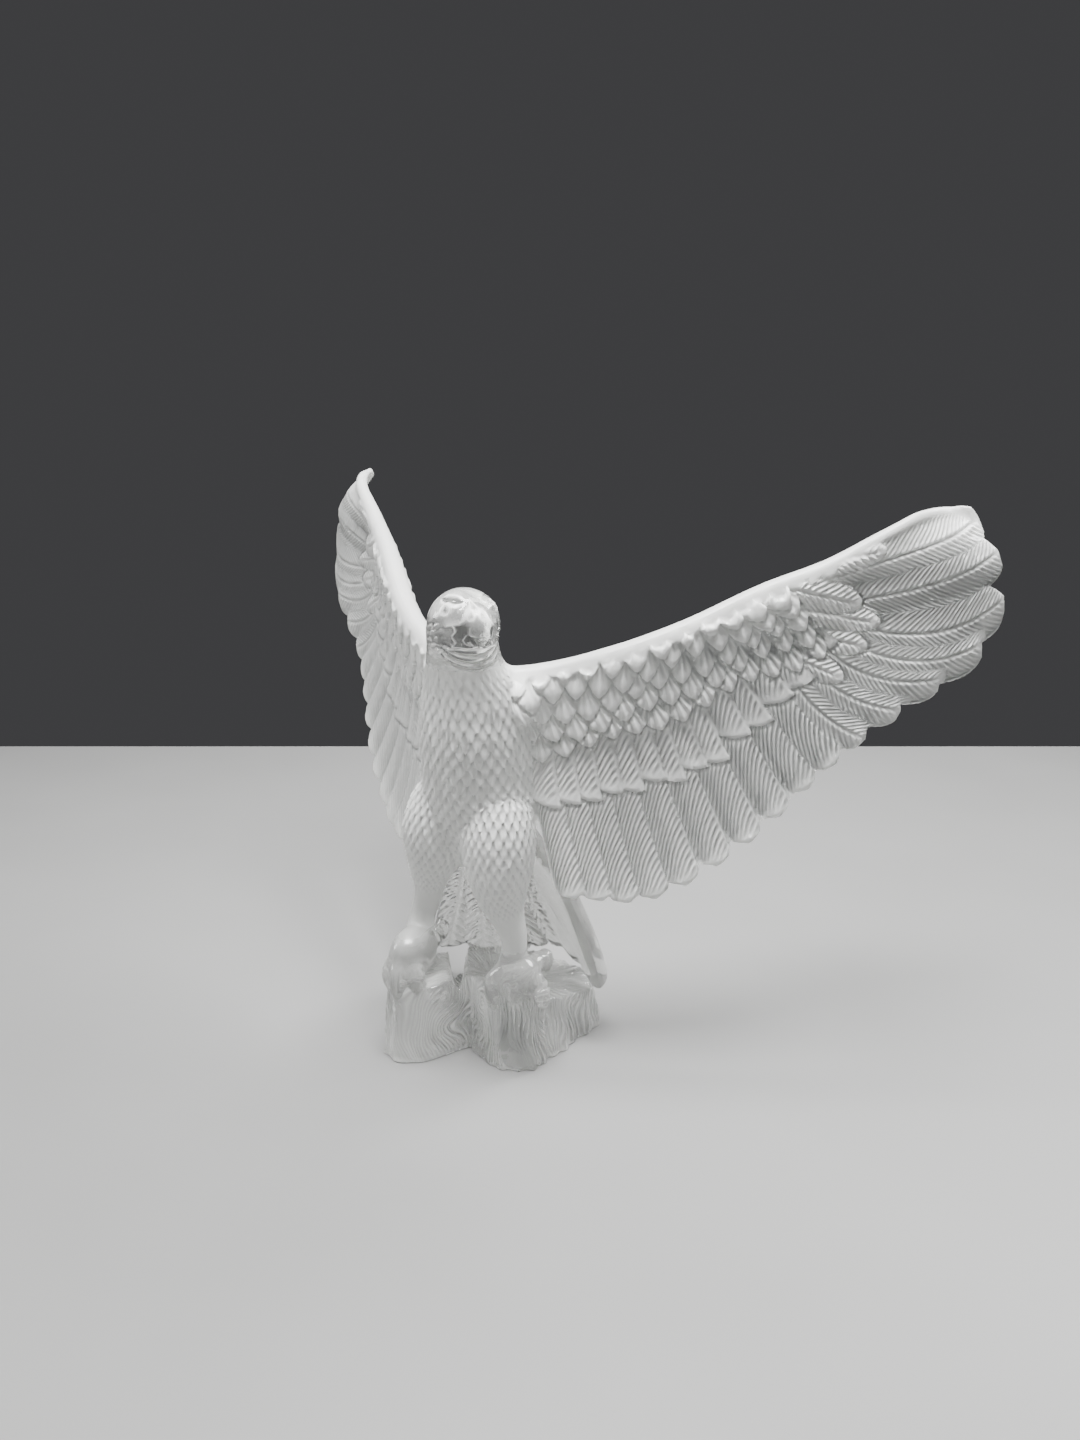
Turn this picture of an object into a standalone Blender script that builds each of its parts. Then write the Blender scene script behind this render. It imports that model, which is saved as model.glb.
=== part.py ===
"""Cast crystal eagle with raised wings, perched on a rock: one solid, 240 mm tall.

The bird faces -Y and +X is its left. The origin is in the middle of the rock's underside. The figure
is drawn in figure units (U), from the foot of the body's upright axis. Each limb, feather and boulder is
modelled as its own closed form, and all of them are then fused into one casting, as they are in the
mould.
"""

import math

import bmesh
import bpy
import numpy as np

MM = 0.001

# Driving dimensions
EAGLE_HEIGHT = 240 * MM  # underside of the rock to the highest wing feather
FIGURE_HEIGHT = 218.7  # the same height in figure units
U = EAGLE_HEIGHT / FIGURE_HEIGHT  # one figure unit
ROCK_HEIGHT = 41 * MM  # where the feet stand
FEATHER_THICKNESS = 3.4 * MM  # a flight feather at its shaft
COVERT_THICKNESS = 2.6 * MM  # the short feathers that lie over the flight feathers
TAIL_THICKNESS = 8.0 * MM
TOE_RADIUS = 4.1 * MM
TAIL_SWELL = 0.8  # how much thicker than its middle the tail's left edge is
CAST_GRAIN = 1.1 * MM  # the finest form that the fused casting keeps
CAST_FACES = 9700  # triangles of the finished casting
CARVING_FAVOUR = 1.5e-6  # how strongly the faces gather on the head, the feet and the feathers

# Pose of the wings, from the body's own axis
WING_SWEEP = math.radians(33.6)  # backwards from straight out
WING_LEAN = math.radians(6.5)  # the upper edge lies further back than the lower one
WING_ROOT = (18, 5, 160)  # figure units, where the leading edge leaves the body
WING_TWIST = 8.5  # figure units, how far the rear of the wing's tip turns forward
WING_CURL = 8  # figure units, how far its leading edge curls back there
WING_HOLLOW = 4.5  # figure units, depth of the hollow across the wing

# Counts of feathers
FLIGHT_FEATHERS = 17
GREATER_COVERTS = 13
LESSER_ROWS = 4
TAIL_FEATHERS = 7


def along(points, t):
    """Catmull-Rom curve through the points, read at shares t of its length in points, from 0 to 1."""
    p = np.asarray(points, float)
    if p.ndim == 1:
        p = p[:, None]
    ends = np.vstack([2 * p[0] - p[1], p, 2 * p[-1] - p[-2]])
    place = np.clip(np.atleast_1d(t), 0, 1) * (len(p) - 1)
    i = np.minimum(place.astype(int), len(p) - 2)
    f = (place - i)[:, None]
    a, b, c, d = ends[i], ends[i + 1], ends[i + 2], ends[i + 3]
    curve = 2 * b + (c - a) * f + (2 * a - 5 * b + 4 * c - d) * f**2 + (3 * b - a - 3 * c + d) * f**3
    return np.squeeze(curve / 2)


def through(xs, ys, x):
    """Smooth value at x of the curve through the points (xs, ys)."""
    slopes = np.gradient(np.asarray(ys, float), np.asarray(xs, float))
    x = np.clip(x, xs[0], xs[-1])
    i = np.clip(np.searchsorted(xs, x) - 1, 0, len(xs) - 2)
    xs, ys = np.asarray(xs, float), np.asarray(ys, float)
    span = xs[i + 1] - xs[i]
    f = (x - xs[i]) / span
    rise = (1 + 2 * f) * (1 - f) ** 2 * ys[i] + f**2 * (3 - 2 * f) * ys[i + 1]
    return rise + span * (f * (1 - f) ** 2 * slopes[i] + f**2 * (f - 1) * slopes[i + 1])


def eased(share):
    """A share from 0 to 1 that starts and ends slowly."""
    share = np.clip(share, 0, 1)
    return share * share * (3 - 2 * share)


def skin(rings):
    """A closed form over rings of points, an array (rings, points, 3), with its two ends closed."""
    count, around, _ = rings.shape
    points = np.vstack([rings.reshape(-1, 3), rings[0].mean(0), rings[-1].mean(0)])
    faces = []
    for i in range(count - 1):
        for j in range(around):
            k = (j + 1) % around
            low, high = i * around, (i + 1) * around
            faces.append((low + j, low + k, high + k, high + j))
    first, last = count * around, count * around + 1
    for j in range(around):
        k = (j + 1) % around
        faces.append((first, k, j))
        top = (count - 1) * around
        faces.append((last, top + j, top + k))
    return points, faces


def limb(path, radii, around=16, steps=14, flat=1.0):
    """A round limb along the path, with its radii read evenly along it. flat squeezes it fore and aft."""
    t = np.linspace(0, 1, steps)
    centres = along(path, t)
    r = along(radii, t)
    heading = np.gradient(centres, axis=0)
    heading /= np.linalg.norm(heading, axis=1)[:, None]
    side = np.cross(heading, (0.0, 1.0, 0.0))
    side[np.linalg.norm(side, axis=1) < 0.2] = (1.0, 0.0, 0.0)
    side /= np.linalg.norm(side, axis=1)[:, None]
    front = np.cross(heading, side)
    turn = np.linspace(0, 2 * math.pi, around, endpoint=False)
    rings = (
        centres[:, None]
        + (r[:, None] * np.cos(turn))[..., None] * side[:, None]
        + (flat * r[:, None] * np.sin(turn))[..., None] * front[:, None]
    )
    return skin(rings)


def ball(centre, radii, around=20):
    """An upright ellipsoid, closed at its poles."""
    lift = np.linspace(-0.5, 0.5, around // 2 + 1)[1:-1] * math.pi
    turn = np.linspace(0, 2 * math.pi, around, endpoint=False)
    rings = np.stack(
        [
            np.cos(lift)[:, None] * np.cos(turn),
            np.cos(lift)[:, None] * np.sin(turn),
            np.repeat(np.sin(lift)[:, None], around, 1),
        ],
        axis=-1,
    )
    points, faces = skin(rings * np.asarray(radii, float) + np.asarray(centre, float))
    points[-2] = np.asarray(centre) - (0, 0, radii[2])
    points[-1] = np.asarray(centre) + (0, 0, radii[2])
    return points, faces


def feather(base, bend, tip, width, thickness, lift, place, tilt=0.09, steps=9, around=12):
    """One feather blade, drawn in the plane of a wing or tail and set in space by the function place.

    base, bend and tip steer the shaft. lift holds the blade's height at its base and at its tip. A tilt
    raises one edge over the next feather, so that the blades overlap like tiles.
    """
    base, bend, tip = (np.asarray(p, float) for p in (base, bend, tip))
    s = (1 - np.cos(np.linspace(0.0, math.pi, steps))) / 2
    t = s[:, None]
    shaft = (1 - t) ** 2 * base + 2 * t * (1 - t) * bend + t**2 * tip
    heading = 2 * (1 - t) * (bend - base) + 2 * t * (tip - bend)
    heading /= np.linalg.norm(heading, axis=1)[:, None]
    side = np.stack([-heading[:, 1], heading[:, 0]], axis=1)
    length = np.linalg.norm(tip - base)
    round_end = min(0.45, 0.62 * width / length)  # share of the length that the tip's curve takes
    taper = 0.62 + 0.38 * np.clip(s / 0.45, 0, 1)
    closing = np.clip((s - 1 + round_end) / round_end, 0, 1)
    half = width / 2 * taper * np.sqrt(np.maximum(1 - closing**2.2, 0.0004))
    turn = np.linspace(0, 2 * math.pi, around, endpoint=False)
    across = np.cos(turn)
    depth = np.sign(np.sin(turn)) * np.abs(np.sin(turn)) ** 0.7 * thickness / 2
    height = lift[0] + (lift[1] - lift[0]) * s
    thin = np.sqrt(np.maximum(1 - 0.75 * closing**3, 0.05))
    flat = shaft[:, None] + (half[:, None] * across)[..., None] * side[:, None]
    rise = height[:, None] + depth * thin[:, None] + tilt * half[:, None] * across
    return skin(place(flat[..., 0], flat[..., 1], rise))


# The wing's own plane: a runs out along the wing, b up, c out of its front face, all in figure units

LEAD_OUT = (-16, 0, 20, 58, 87, 112, 131, 144, 155, 166)
LEAD_UP = (1.5, 2, 5.8, 18.4, 31.6, 41.0, 51.4, 57.8, 59.9, 57.0)

# How far the web reaches down from the leading edge
WEB_OUT = (-16, 0, 8, 16, 30, 57, 82, 98, 118, 130, 142, 152, 160, 166)
WEB_DEPTH = (48, 50, 74, 90, 97, 100, 94, 88, 75, 73, 67, 48, 18, 5)

# Tips of the flight feathers, from the innermost secondary, 0, to the leading primary, 16
TIP_PLACE = (0, 3, 6, 8, 10, 12, 13, 14, 15, 16)
TIP_OUT = (20, 51, 86, 107.5, 128.5, 153.5, 168.5, 176.5, 174, 170)
TIP_UP = (-90, -89.5, -66.5, -46, -26.5, -2.5, 10.5, 27, 43.5, 55)


def lead(a):
    """Height b of the leading edge at the distance a out."""
    return through(LEAD_OUT, LEAD_UP, a)


def wing_place(a, b, c):
    """Points of the left wing in space, in figure units, bent to its shallow hollow."""
    out = np.array([math.cos(WING_SWEEP), math.sin(WING_SWEEP), 0])
    face = np.array([math.sin(WING_SWEEP), -math.cos(WING_SWEEP), math.tan(WING_LEAN)])
    face /= np.linalg.norm(face)
    up = np.cross(out, -face)
    chord = np.clip((lead(a) - b) / 100, 0, 1)
    front_bow = through((-16, 0, 45, 80, 112, 145, 178), (0, 0, 3, 1, -0.5, 1.5, -6.5), a)
    rear_bow = through((-16, 20, 60, 100, 178), (0, 0, 1.5, 4, 1.5), a)
    hollow = -WING_HOLLOW * 4 * chord * (1 - chord)
    twist = WING_TWIST * eased((a - 118) / 45) * eased((lead(a) - b) / 24)
    curl = -WING_CURL * eased((a - 132) / 34) * np.exp(-((np.maximum(lead(a) - b, 0) / 9) ** 2))
    c = c + front_bow * (1 - chord) + rear_bow * chord + hollow + twist + curl
    return np.asarray(WING_ROOT) + a[..., None] * out + b[..., None] * up + c[..., None] * face


def wing_core():
    """The arm along the leading edge and the web behind it, which the feathers lie on."""
    a = np.linspace(WEB_OUT[0], WEB_OUT[-1], 48)
    reach = through(WEB_OUT, WEB_DEPTH, a)
    turn = np.linspace(0, 2 * math.pi, 36, endpoint=False)
    share = (1 - np.cos(turn)) / 2  # 0 at the leading edge, 1 at the rear of the web
    side = np.sign(np.sin(turn))
    behind = share * reach[:, None]
    arm = through((-16, 0, 60, 112, 140, 166), (6.4, 5.6, 5.0, 4.0, 2.8, 1.8), a)[:, None]
    nose = np.sqrt(np.clip(1 - (1 - np.minimum(behind / (1.1 * arm), 1)) ** 2, 0, 1))
    web = 0.18 * arm + 0.82 * arm * np.exp(-((np.maximum(behind - 5, 0) / 22) ** 2))
    thick = np.minimum(nose * arm, web) * np.sqrt(np.clip(1 - share**5, 0, 1)) * side
    out = np.repeat(a[:, None], len(turn), 1)
    return skin(wing_place(out, lead(out) - behind, thick))


def flight_feathers():
    """Secondaries and primaries, from the body outwards, in one fan."""
    k = np.arange(FLIGHT_FEATHERS) / (FLIGHT_FEATHERS - 1) * 16
    base_out = through((0, 5, 9, 11, 13, 14, 16), (9, 48, 88, 103, 114, 119, 118), k)
    base_up = through((0, 5, 9, 11, 13, 14, 16), (-30, -12, 2, 8, 14, 17, 36), k)
    tip_out = through(TIP_PLACE, TIP_OUT, k)
    tip_up = through(TIP_PLACE, TIP_UP, k)
    sag = through((0, 9, 10, 12, 13, 14, 15, 16), (2, 3, 5, 7, 8.5, 8, 3, 1), k)
    width = through((0, 9, 12, 14, 16), (15, 15.5, 18, 20.5, 19), k)
    made = []
    for i in range(FLIGHT_FEATHERS):
        base, tip = np.array([base_out[i], base_up[i]]), np.array([tip_out[i], tip_up[i]])
        heading = (tip - base) / np.linalg.norm(tip - base)
        bend = (base + tip) / 2 + 2 * sag[i] * np.array([heading[1], -heading[0]])
        thickness = FEATHER_THICKNESS / U
        made.append(feather(base, bend, tip, width[i], thickness, (0, 0), wing_place, steps=13))
    return made


def covert(tip, length, width, lean, side, lift):
    """A short feather that lies on the front (side 1) or back (side -1) of the wing."""
    tip = np.asarray(tip, float)
    base = tip - length * np.array([math.sin(lean), -math.cos(lean)])
    base[1] = min(base[1], lead(base[0]) - 4.5)
    heights = (side * lift[0], side * lift[1])
    middle = (base + tip) / 2
    return feather(base, middle, tip, width, COVERT_THICKNESS / U, heights, wing_place, side * 0.06, 7, 10)


def coverts(side):
    """The greater coverts and the rows of lesser coverts of one face of the wing."""
    made = []
    reach = np.linspace(7, 112, GREATER_COVERTS)
    drop = through((7, 44, 68, 84, 100, 112), (57.5, 59.0, 61.0, 55.0, 47.0, 34.0), reach)
    lean = np.radians(through((7, 44, 84, 112), (4, 12, 30, 52), reach))
    for a, d, turn in zip(reach, drop, lean):
        made.append(covert((a, lead(a) - d), 27, 11.5, turn, side, (0.6, 2.0)))
    for row in range(LESSER_ROWS):
        drop = 36 - 8.2 * row
        first = 3 + 4.5 * (row % 2)
        for a in np.arange(first, 108 - 2 * row, 9.0):
            turn = math.radians(through((0, 60, 110), (2, 14, 40), a))
            rise = 2.5 + 0.65 * row
            made.append(covert((a, lead(a) - drop), 11, 9.4, turn, side, (rise - 1.3, rise)))
    return made


def mirrored(form):
    """The same form on the bird's other side."""
    points, faces = form
    return points * (-1, 1, 1), [tuple(reversed(face)) for face in faces]


def wings():
    left = [wing_core(), *flight_feathers(), *coverts(1), *coverts(-1)]
    return left + [mirrored(form) for form in left]


# The body, upright, with the head turned to the bird's left

HEAD_CENTRE = np.array([0, -7.0, 177.5])
HEAD_TURN = math.radians(60)
HEAD_DIP = math.radians(3)


def head_place(forward, left, up):
    """A point of the head from its own centre, in figure units."""
    facing = np.array([math.sin(HEAD_TURN), -math.cos(HEAD_TURN), 0.0])
    sideways = np.array([math.cos(HEAD_TURN), math.sin(HEAD_TURN), 0.0])
    dip_forward = facing * math.cos(HEAD_DIP) - np.array([0, 0, math.sin(HEAD_DIP)])
    dip_up = facing * math.sin(HEAD_DIP) + np.array([0, 0, math.cos(HEAD_DIP)])
    return HEAD_CENTRE + forward * dip_forward + left * sideways + up * dip_up


def trunk():
    """Breast, back and neck, as level ovals from the vent up to the crown."""
    level = np.array([74, 80, 88, 98, 110, 122, 134, 145, 155, 163, 170, 178, 185, 189.5])
    back = np.array([5, 5, 4, 3, 1, 0, -1, -2, -4, -7, -8, -7.5, -7, -7])
    wide = np.array([6, 13, 19, 21.5, 22, 22, 22, 20.5, 18, 15, 13.4, 13.2, 10.6, 5.5])
    deep = np.array([5, 12, 17, 20.5, 21.3, 21, 20.5, 18.5, 16, 13.8, 13, 13.6, 11.6, 6.5])
    z = np.linspace(level[0], level[-1], 40)
    turn = np.linspace(0, 2 * math.pi, 32, endpoint=False)
    x = through(level, wide, z)[:, None] * np.cos(turn)
    y = through(level, back, z)[:, None] + through(level, deep, z)[:, None] * np.sin(turn)
    return skin(np.stack([x, y, np.repeat(z[:, None], len(turn), 1)], axis=-1))


def shoulder():
    """The muscle that carries the breast over into the wing."""
    path = [(8, -1, 140), (15, 2, 147), (23, 8, 154), (36, 17, 161)]
    return limb(path, [9, 9, 6.5, 2.5])


def head():
    """Skull, brows and the hooked beak."""
    skull = ball(HEAD_CENTRE, (13.3, 13.6, 13.2))
    culmen = ((5, 0, 3.4), (11, 0, 3.6), (14.6, 0, 1.8), (16.6, 0, -1.4), (16.4, 0, -5))
    beak = [head_place(*p) for p in culmen]
    jaw = [head_place(*p) for p in ((6, 0, -4.0), (11.5, 0, -4.6), (14, 0, -5.2))]
    made = [skull, limb(beak, [7.0, 6.2, 5.0, 3.4, 1.3]), limb(jaw, [6.0, 4.6, 2.4])]
    for side in (1, -1):
        ridge = ((9.6, 4.4 * side, 7.0), (6.4, 7.8 * side, 7.4), (2, 10 * side, 6.4))
        brow = [head_place(*p) for p in ridge]
        made.append(limb(brow, [1.0, 1.7, 1.0], steps=8, around=10))
    return made


# Each leg from the flank to the ankle as (x, y, z, radius), and its toe tips as (x, y, drop below the
# standing height). The bird's right foot stands further forward, on the front of the rock.
LEFT_LEG = (
    (12, -3, 112, 11),
    (14.5, -7, 97, 14),
    (15.5, -8.5, 84, 13),
    (16.2, -8, 71.5, 9.4),
    (18.7, -7, 62, 6.6),
    (21.5, -6, 53, 5.4),
)
LEFT_TOES = ((15.5, -13.5, 11), (25, -13.5, 7), (34, -7, 10), (25, 9, 4))
RIGHT_LEG = (
    (-12, -3, 112, 11),
    (-14.5, -8, 97, 13),
    (-15.5, -8.5, 85, 12),
    (-18.5, -8, 74, 8.4),
    (-20.5, -7, 65, 6.2),
    (-22.5, -7, 54, 5.8),
)
RIGHT_TOES = ((-12.5, -27, 8), (-18.5, -32, 10), (-24, -29, 9), (-24, 4, 2))

# The swelling of each foot over the rock: centre, as (x, y, height over the standing height), and radii
LEFT_INSTEP = ((23.5, -7.5, 2), (9.5, 9, 9))
RIGHT_INSTEP = ((-20, -19, 5), (8.5, 12, 10))


def leg(stations, toes, instep):
    """Feathered thigh, bare shank and four toes that grip the rock."""
    stations, toes = np.array(stations, float), np.array(toes, float)
    made = [limb(stations[:, :3], stations[:, 3], steps=24, around=20)]
    ankle, shank = stations[-1, :3], stations[-1, 3]
    top = ROCK_HEIGHT / U
    heel = np.array([0.95 * ankle[0], (ankle[1] + toes[1][1]) / 2 + 1, top + 3])
    made.append(limb([ankle + (0, 0, 7), (ankle + heel) / 2, heel], [0.9 * shank, shank, 1.3 * shank]))
    toe = TOE_RADIUS / U
    for tip in toes * (1, 1, -1) + (0, 0, top):
        knuckle = heel + 0.78 * (tip - heel) * (1, 1, 0) - (0, 0, 1.5)
        made.append(limb([heel, knuckle, tip + (0, 0, 6), tip], [1.2 * toe, 1.1 * toe, toe, 0.5 * toe]))
    made.append(ball(np.add(instep[0], (0, 0, top)), instep[1], 24))
    return made


# The tail: a runs to the bird's left, b down the tail, c out of its front face

TAIL_ROOT = np.array([0, 12, 98])
TAIL_DROP = math.radians(22)  # backwards from hanging straight down
TAIL_LENGTH = 80
TAIL_SPREAD = 39  # half the distance between the outer feathers' tips
TAIL_CUP = 23  # how far the fan's lower corners curve forward, round the legs
TAIL_FEATHER_WIDTH = 17
TAIL_SHIFT = 3.5  # the fan's root lies this far to the bird's right


def tail_place(a, b, c):
    """Points of the tail in space, with its two edges curved forward."""
    down = np.array([0, math.sin(TAIL_DROP), -math.cos(TAIL_DROP)])
    face = np.array([0, -math.cos(TAIL_DROP), -math.sin(TAIL_DROP)])
    edge = TAIL_SPREAD + TAIL_FEATHER_WIDTH / 2
    c = c + TAIL_CUP * (a / edge) ** 2 * np.clip(b / TAIL_LENGTH, 0, 1) ** 0.8
    return TAIL_ROOT + a[..., None] * (1, 0, 0) + b[..., None] * down + c[..., None] * face


def tail():
    """A fan of broad feathers, of which the longer ones on the bird's right come down on to the rock."""
    made = [limb([(0, 6, 104), (0, 13, 92), (0, 19, 78)], [13, 12, 8], flat=0.8)]
    for i in range(TAIL_FEATHERS):
        share = 2 * i / (TAIL_FEATHERS - 1) - 1
        reach = TAIL_LENGTH * through((-1, -0.6, -0.2, 0.1, 1), (1.06, 1.16, 1.11, 1.0, 0.99), share)
        base, tip = (8 * share - TAIL_SHIFT, 0), (TAIL_SPREAD * share, reach)
        bend = (0.6 * tip[0] - TAIL_SHIFT, 0.5 * tip[1])
        thickness = TAIL_THICKNESS / U * (1 - 0.25 * abs(share) + TAIL_SWELL * max(share, 0) ** 2)
        heights = (0, -1.2 * abs(share) - 2.5 * max(share, 0))
        width = TAIL_FEATHER_WIDTH
        made.append(feather(base, bend, tip, width, thickness, heights, tail_place, 0.05, 12, 14))
    return made


# The rock

ROCK_CENTRE = np.array([1, 8])
ROCK_TURN = (-180, -140, -122, -108, -93, -78, -60, -38, -12, 12, 38, 62, 90, 120, 150, 180)
ROCK_REACH = (34, 42, 49, 42, 20, 21, 27, 34, 33, 35, 44, 46, 42, 45, 40, 34)
ROCK_FLUTES = 34


def rock_edge(turn):
    """Reach of the rock's outline from its centre, in figure units, at an angle in degrees from +X."""
    return through(ROCK_TURN, ROCK_REACH, (turn + 180) % 360 - 180)


def rock_top(x, y):
    """Height of the rock: full under the feet, falling to the rear, with a gully between the two feet."""
    full = ROCK_HEIGHT / U
    left = 1.02 * np.exp(-(((x - 22) / 15) ** 2 + ((y + 4) / 15) ** 2))
    right = 1.16 * np.exp(-(((x + 23) / 15) ** 2 + ((y + 14) / 20) ** 2))
    ledge = 0.30 + 0.58 * np.exp(-np.maximum(y + 9, 0) / 32)
    along_gully = -0.61 * (x + 5) + 0.79 * (y + 10)
    across_gully = 0.79 * (x + 5) + 0.61 * (y + 10)
    bed = 0.62 - 0.0165 * along_gully + 0.03 * across_gully**2
    return full * np.clip(np.max([ledge, left, right], axis=0), 0.12, np.maximum(bed, 0.13))


def rock():
    """Upright fluted sides round a stepped top."""
    degrees = np.linspace(-180, 180, 96, endpoint=False)
    turn = np.radians(degrees)
    flutes = 1 + 0.022 * np.sin(ROCK_FLUTES * turn) + 0.02 * np.sin(0.37 * ROCK_FLUTES * turn + 1.0)
    reach = rock_edge(degrees) * flutes
    heading = np.stack([np.cos(turn), np.sin(turn)], axis=1)
    sunk = 4.0  # below the ground line, and cut off flat there once the casting is fused
    rings = []
    for share in (0.25, 0.6, 1.0):
        xy = ROCK_CENTRE + heading * (share * reach)[:, None]
        rings.append(np.column_stack([xy, np.full(len(turn), -sunk)]))
    rim = ROCK_CENTRE + heading * reach[:, None]
    top = rock_top(rim[:, 0], rim[:, 1])
    for share, draw in ((0.1, 1.0), (0.4, 0.985), (0.75, 0.96), (0.93, 0.925)):
        xy = ROCK_CENTRE + heading * (draw * reach)[:, None]
        rings.append(np.column_stack([xy, share * top]))
    for share in (0.86, 0.68, 0.45, 0.2):
        xy = ROCK_CENTRE + heading * (share * reach)[:, None]
        rings.append(np.column_stack([xy, rock_top(xy[:, 0], xy[:, 1])]))
    return skin(np.array(rings))


def joined(forms):
    """One mesh of all the forms, still overlapping."""
    points, faces = [], []
    for form_points, form_faces in forms:
        start = sum(map(len, points))
        points.append(form_points)
        faces += [tuple(start + i for i in face) for face in form_faces]
    mesh = bpy.data.meshes.new("crystal_eagle_forms")
    places = (np.vstack(points) - (*ROCK_CENTRE, 0)) * U
    mesh.from_pydata(places.tolist(), [], faces)
    return mesh


def evaluated_mesh(obj):
    """The mesh of obj with its modifiers applied."""
    bpy.context.view_layer.update()
    graph = bpy.context.evaluated_depsgraph_get()
    return bpy.data.meshes.new_from_object(obj.evaluated_get(graph))


def apply_modifiers(obj):
    mesh = evaluated_mesh(obj)
    obj.modifiers.clear()
    obj.data = mesh
    obj.data.name = obj.name


def weigh(obj, name, weights):
    """A vertex group of obj with a weight for each vertex."""
    group = obj.vertex_groups.new(name=name)
    for i, weight in enumerate(weights):
        group.add([i], float(weight), "REPLACE")


def figure_points(mesh):
    """The vertices of the mesh in figure units, from the body's own axis."""
    flat = np.empty(3 * len(mesh.vertices), np.float32)
    mesh.vertices.foreach_get("co", flat)
    return flat.reshape(-1, 3) / U + (*ROCK_CENTRE, 0)


def flesh(points):
    """Weight 1 on breast, flanks and thighs, where forms run softly into each other, and less on the feet."""
    x, y, z = points.T
    girth = np.hypot(x, y + 3)
    reach = 36 + 14 * eased((z - 130) / 10)
    body = eased((reach - girth) / 10) * eased((z - 46) / 10) * eased((172 - z) / 10)
    feet = 0.3 * eased((z - 18) / 8) * eased((58 - z) / 6) * eased((8 - y) / 8)
    return np.maximum(body, feet)


def carving(points):
    """Weight of the fine forms that need small faces: head, feet and the front of the wings."""
    x, y, z = points.T
    head_near = eased((22 - np.linalg.norm(points - HEAD_CENTRE, axis=1)) / 5)
    feet_near = eased((56 - z) / 8) * eased((z - 18) / 8) * eased((8 - y) / 10)
    wing_near = 0.25 * eased((np.abs(x) - 24) / 6) * eased((z - 70) / 10)
    return np.maximum(head_near, np.maximum(0.7 * feet_near, wing_near))


def cut_at_ground(obj):
    """Cuts the casting off flat where it stands, and closes the cut."""
    cast = bmesh.new()
    cast.from_mesh(obj.data)
    everything = cast.verts[:] + cast.edges[:] + cast.faces[:]
    down = (0, 0, -1)
    cut = bmesh.ops.bisect_plane(cast, geom=everything, plane_co=(0, 0, 0), plane_no=down, clear_outer=True)
    rim = [e for e in cut["geom_cut"] if isinstance(e, bmesh.types.BMEdge)]
    bmesh.ops.contextual_create(cast, geom=rim)
    bmesh.ops.recalc_face_normals(cast, faces=cast.faces[:])
    bmesh.ops.triangulate(cast, faces=cast.faces[:])
    cast.to_mesh(obj.data)
    cast.free()


def crystal():
    """Satin crystal: pale, faintly warm and see-through."""
    material = bpy.data.materials.new("satin_crystal")
    material.use_nodes = True
    shader = material.node_tree.nodes["Principled BSDF"]
    shader.inputs["Base Color"].default_value = (0.92, 0.93, 0.90, 1)
    shader.inputs["Roughness"].default_value = 0.35
    shader.inputs["Metallic"].default_value = 0.0
    shader.inputs["Transmission Weight"].default_value = 1.0
    shader.inputs["IOR"].default_value = 1.54
    return material


def clear_scene():
    for obj in list(bpy.data.objects):
        bpy.data.objects.remove(obj)


def build():
    clear_scene()
    forms = [trunk(), shoulder(), mirrored(shoulder()), *head(), *tail(), rock(), *wings()]
    forms += leg(LEFT_LEG, LEFT_TOES, LEFT_INSTEP) + leg(RIGHT_LEG, RIGHT_TOES, RIGHT_INSTEP)
    eagle = bpy.data.objects.new("crystal_eagle", joined(forms))
    bpy.context.scene.collection.objects.link(eagle)
    fuse = eagle.modifiers.new("fuse", "REMESH")
    fuse.mode = "VOXEL"
    fuse.voxel_size = CAST_GRAIN
    apply_modifiers(eagle)
    points = figure_points(eagle.data)
    weigh(eagle, "flesh", flesh(points))
    weigh(eagle, "carving", carving(points))
    polish = eagle.modifiers.new("polish", "SMOOTH")
    polish.factor = 0.5
    polish.iterations = 2
    blend = eagle.modifiers.new("blend", "SMOOTH")
    blend.factor = 0.5
    blend.iterations = 50
    blend.vertex_group = "flesh"
    thin = eagle.modifiers.new("thin_out", "DECIMATE")
    thin.ratio = CAST_FACES / (2 * len(eagle.data.polygons))
    thin.use_collapse_triangulate = True
    thin.vertex_group = "carving"
    thin.invert_vertex_group = True
    thin.vertex_group_factor = CARVING_FAVOUR
    apply_modifiers(eagle)
    eagle.vertex_groups.clear()
    cut_at_ground(eagle)
    eagle.data.materials.append(crystal())
    eagle.data.shade_smooth()
    eagle.data.set_sharp_from_angle(angle=math.radians(60))


build()
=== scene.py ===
# %% [markdown]
# # A cast crystal eagle
#
# The real piece is one casting in crystal glass: the bird, its raised wings, its tail and the rock it
# grips leave the mould together. Afterwards the wings, the body and the thighs are frosted to a satin,
# while the head, the feet and the rock are polished clear. Here the casting is modelled the way a mould
# maker would think of it: every feather, limb and boulder is a form of its own, all forms are fused, and
# the fine carving is cut into the fused surface afterwards.

# %% Load the frame
import math

import bpy
import numpy as np
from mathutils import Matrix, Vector
from mathutils.bvhtree import BVHTree


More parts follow.
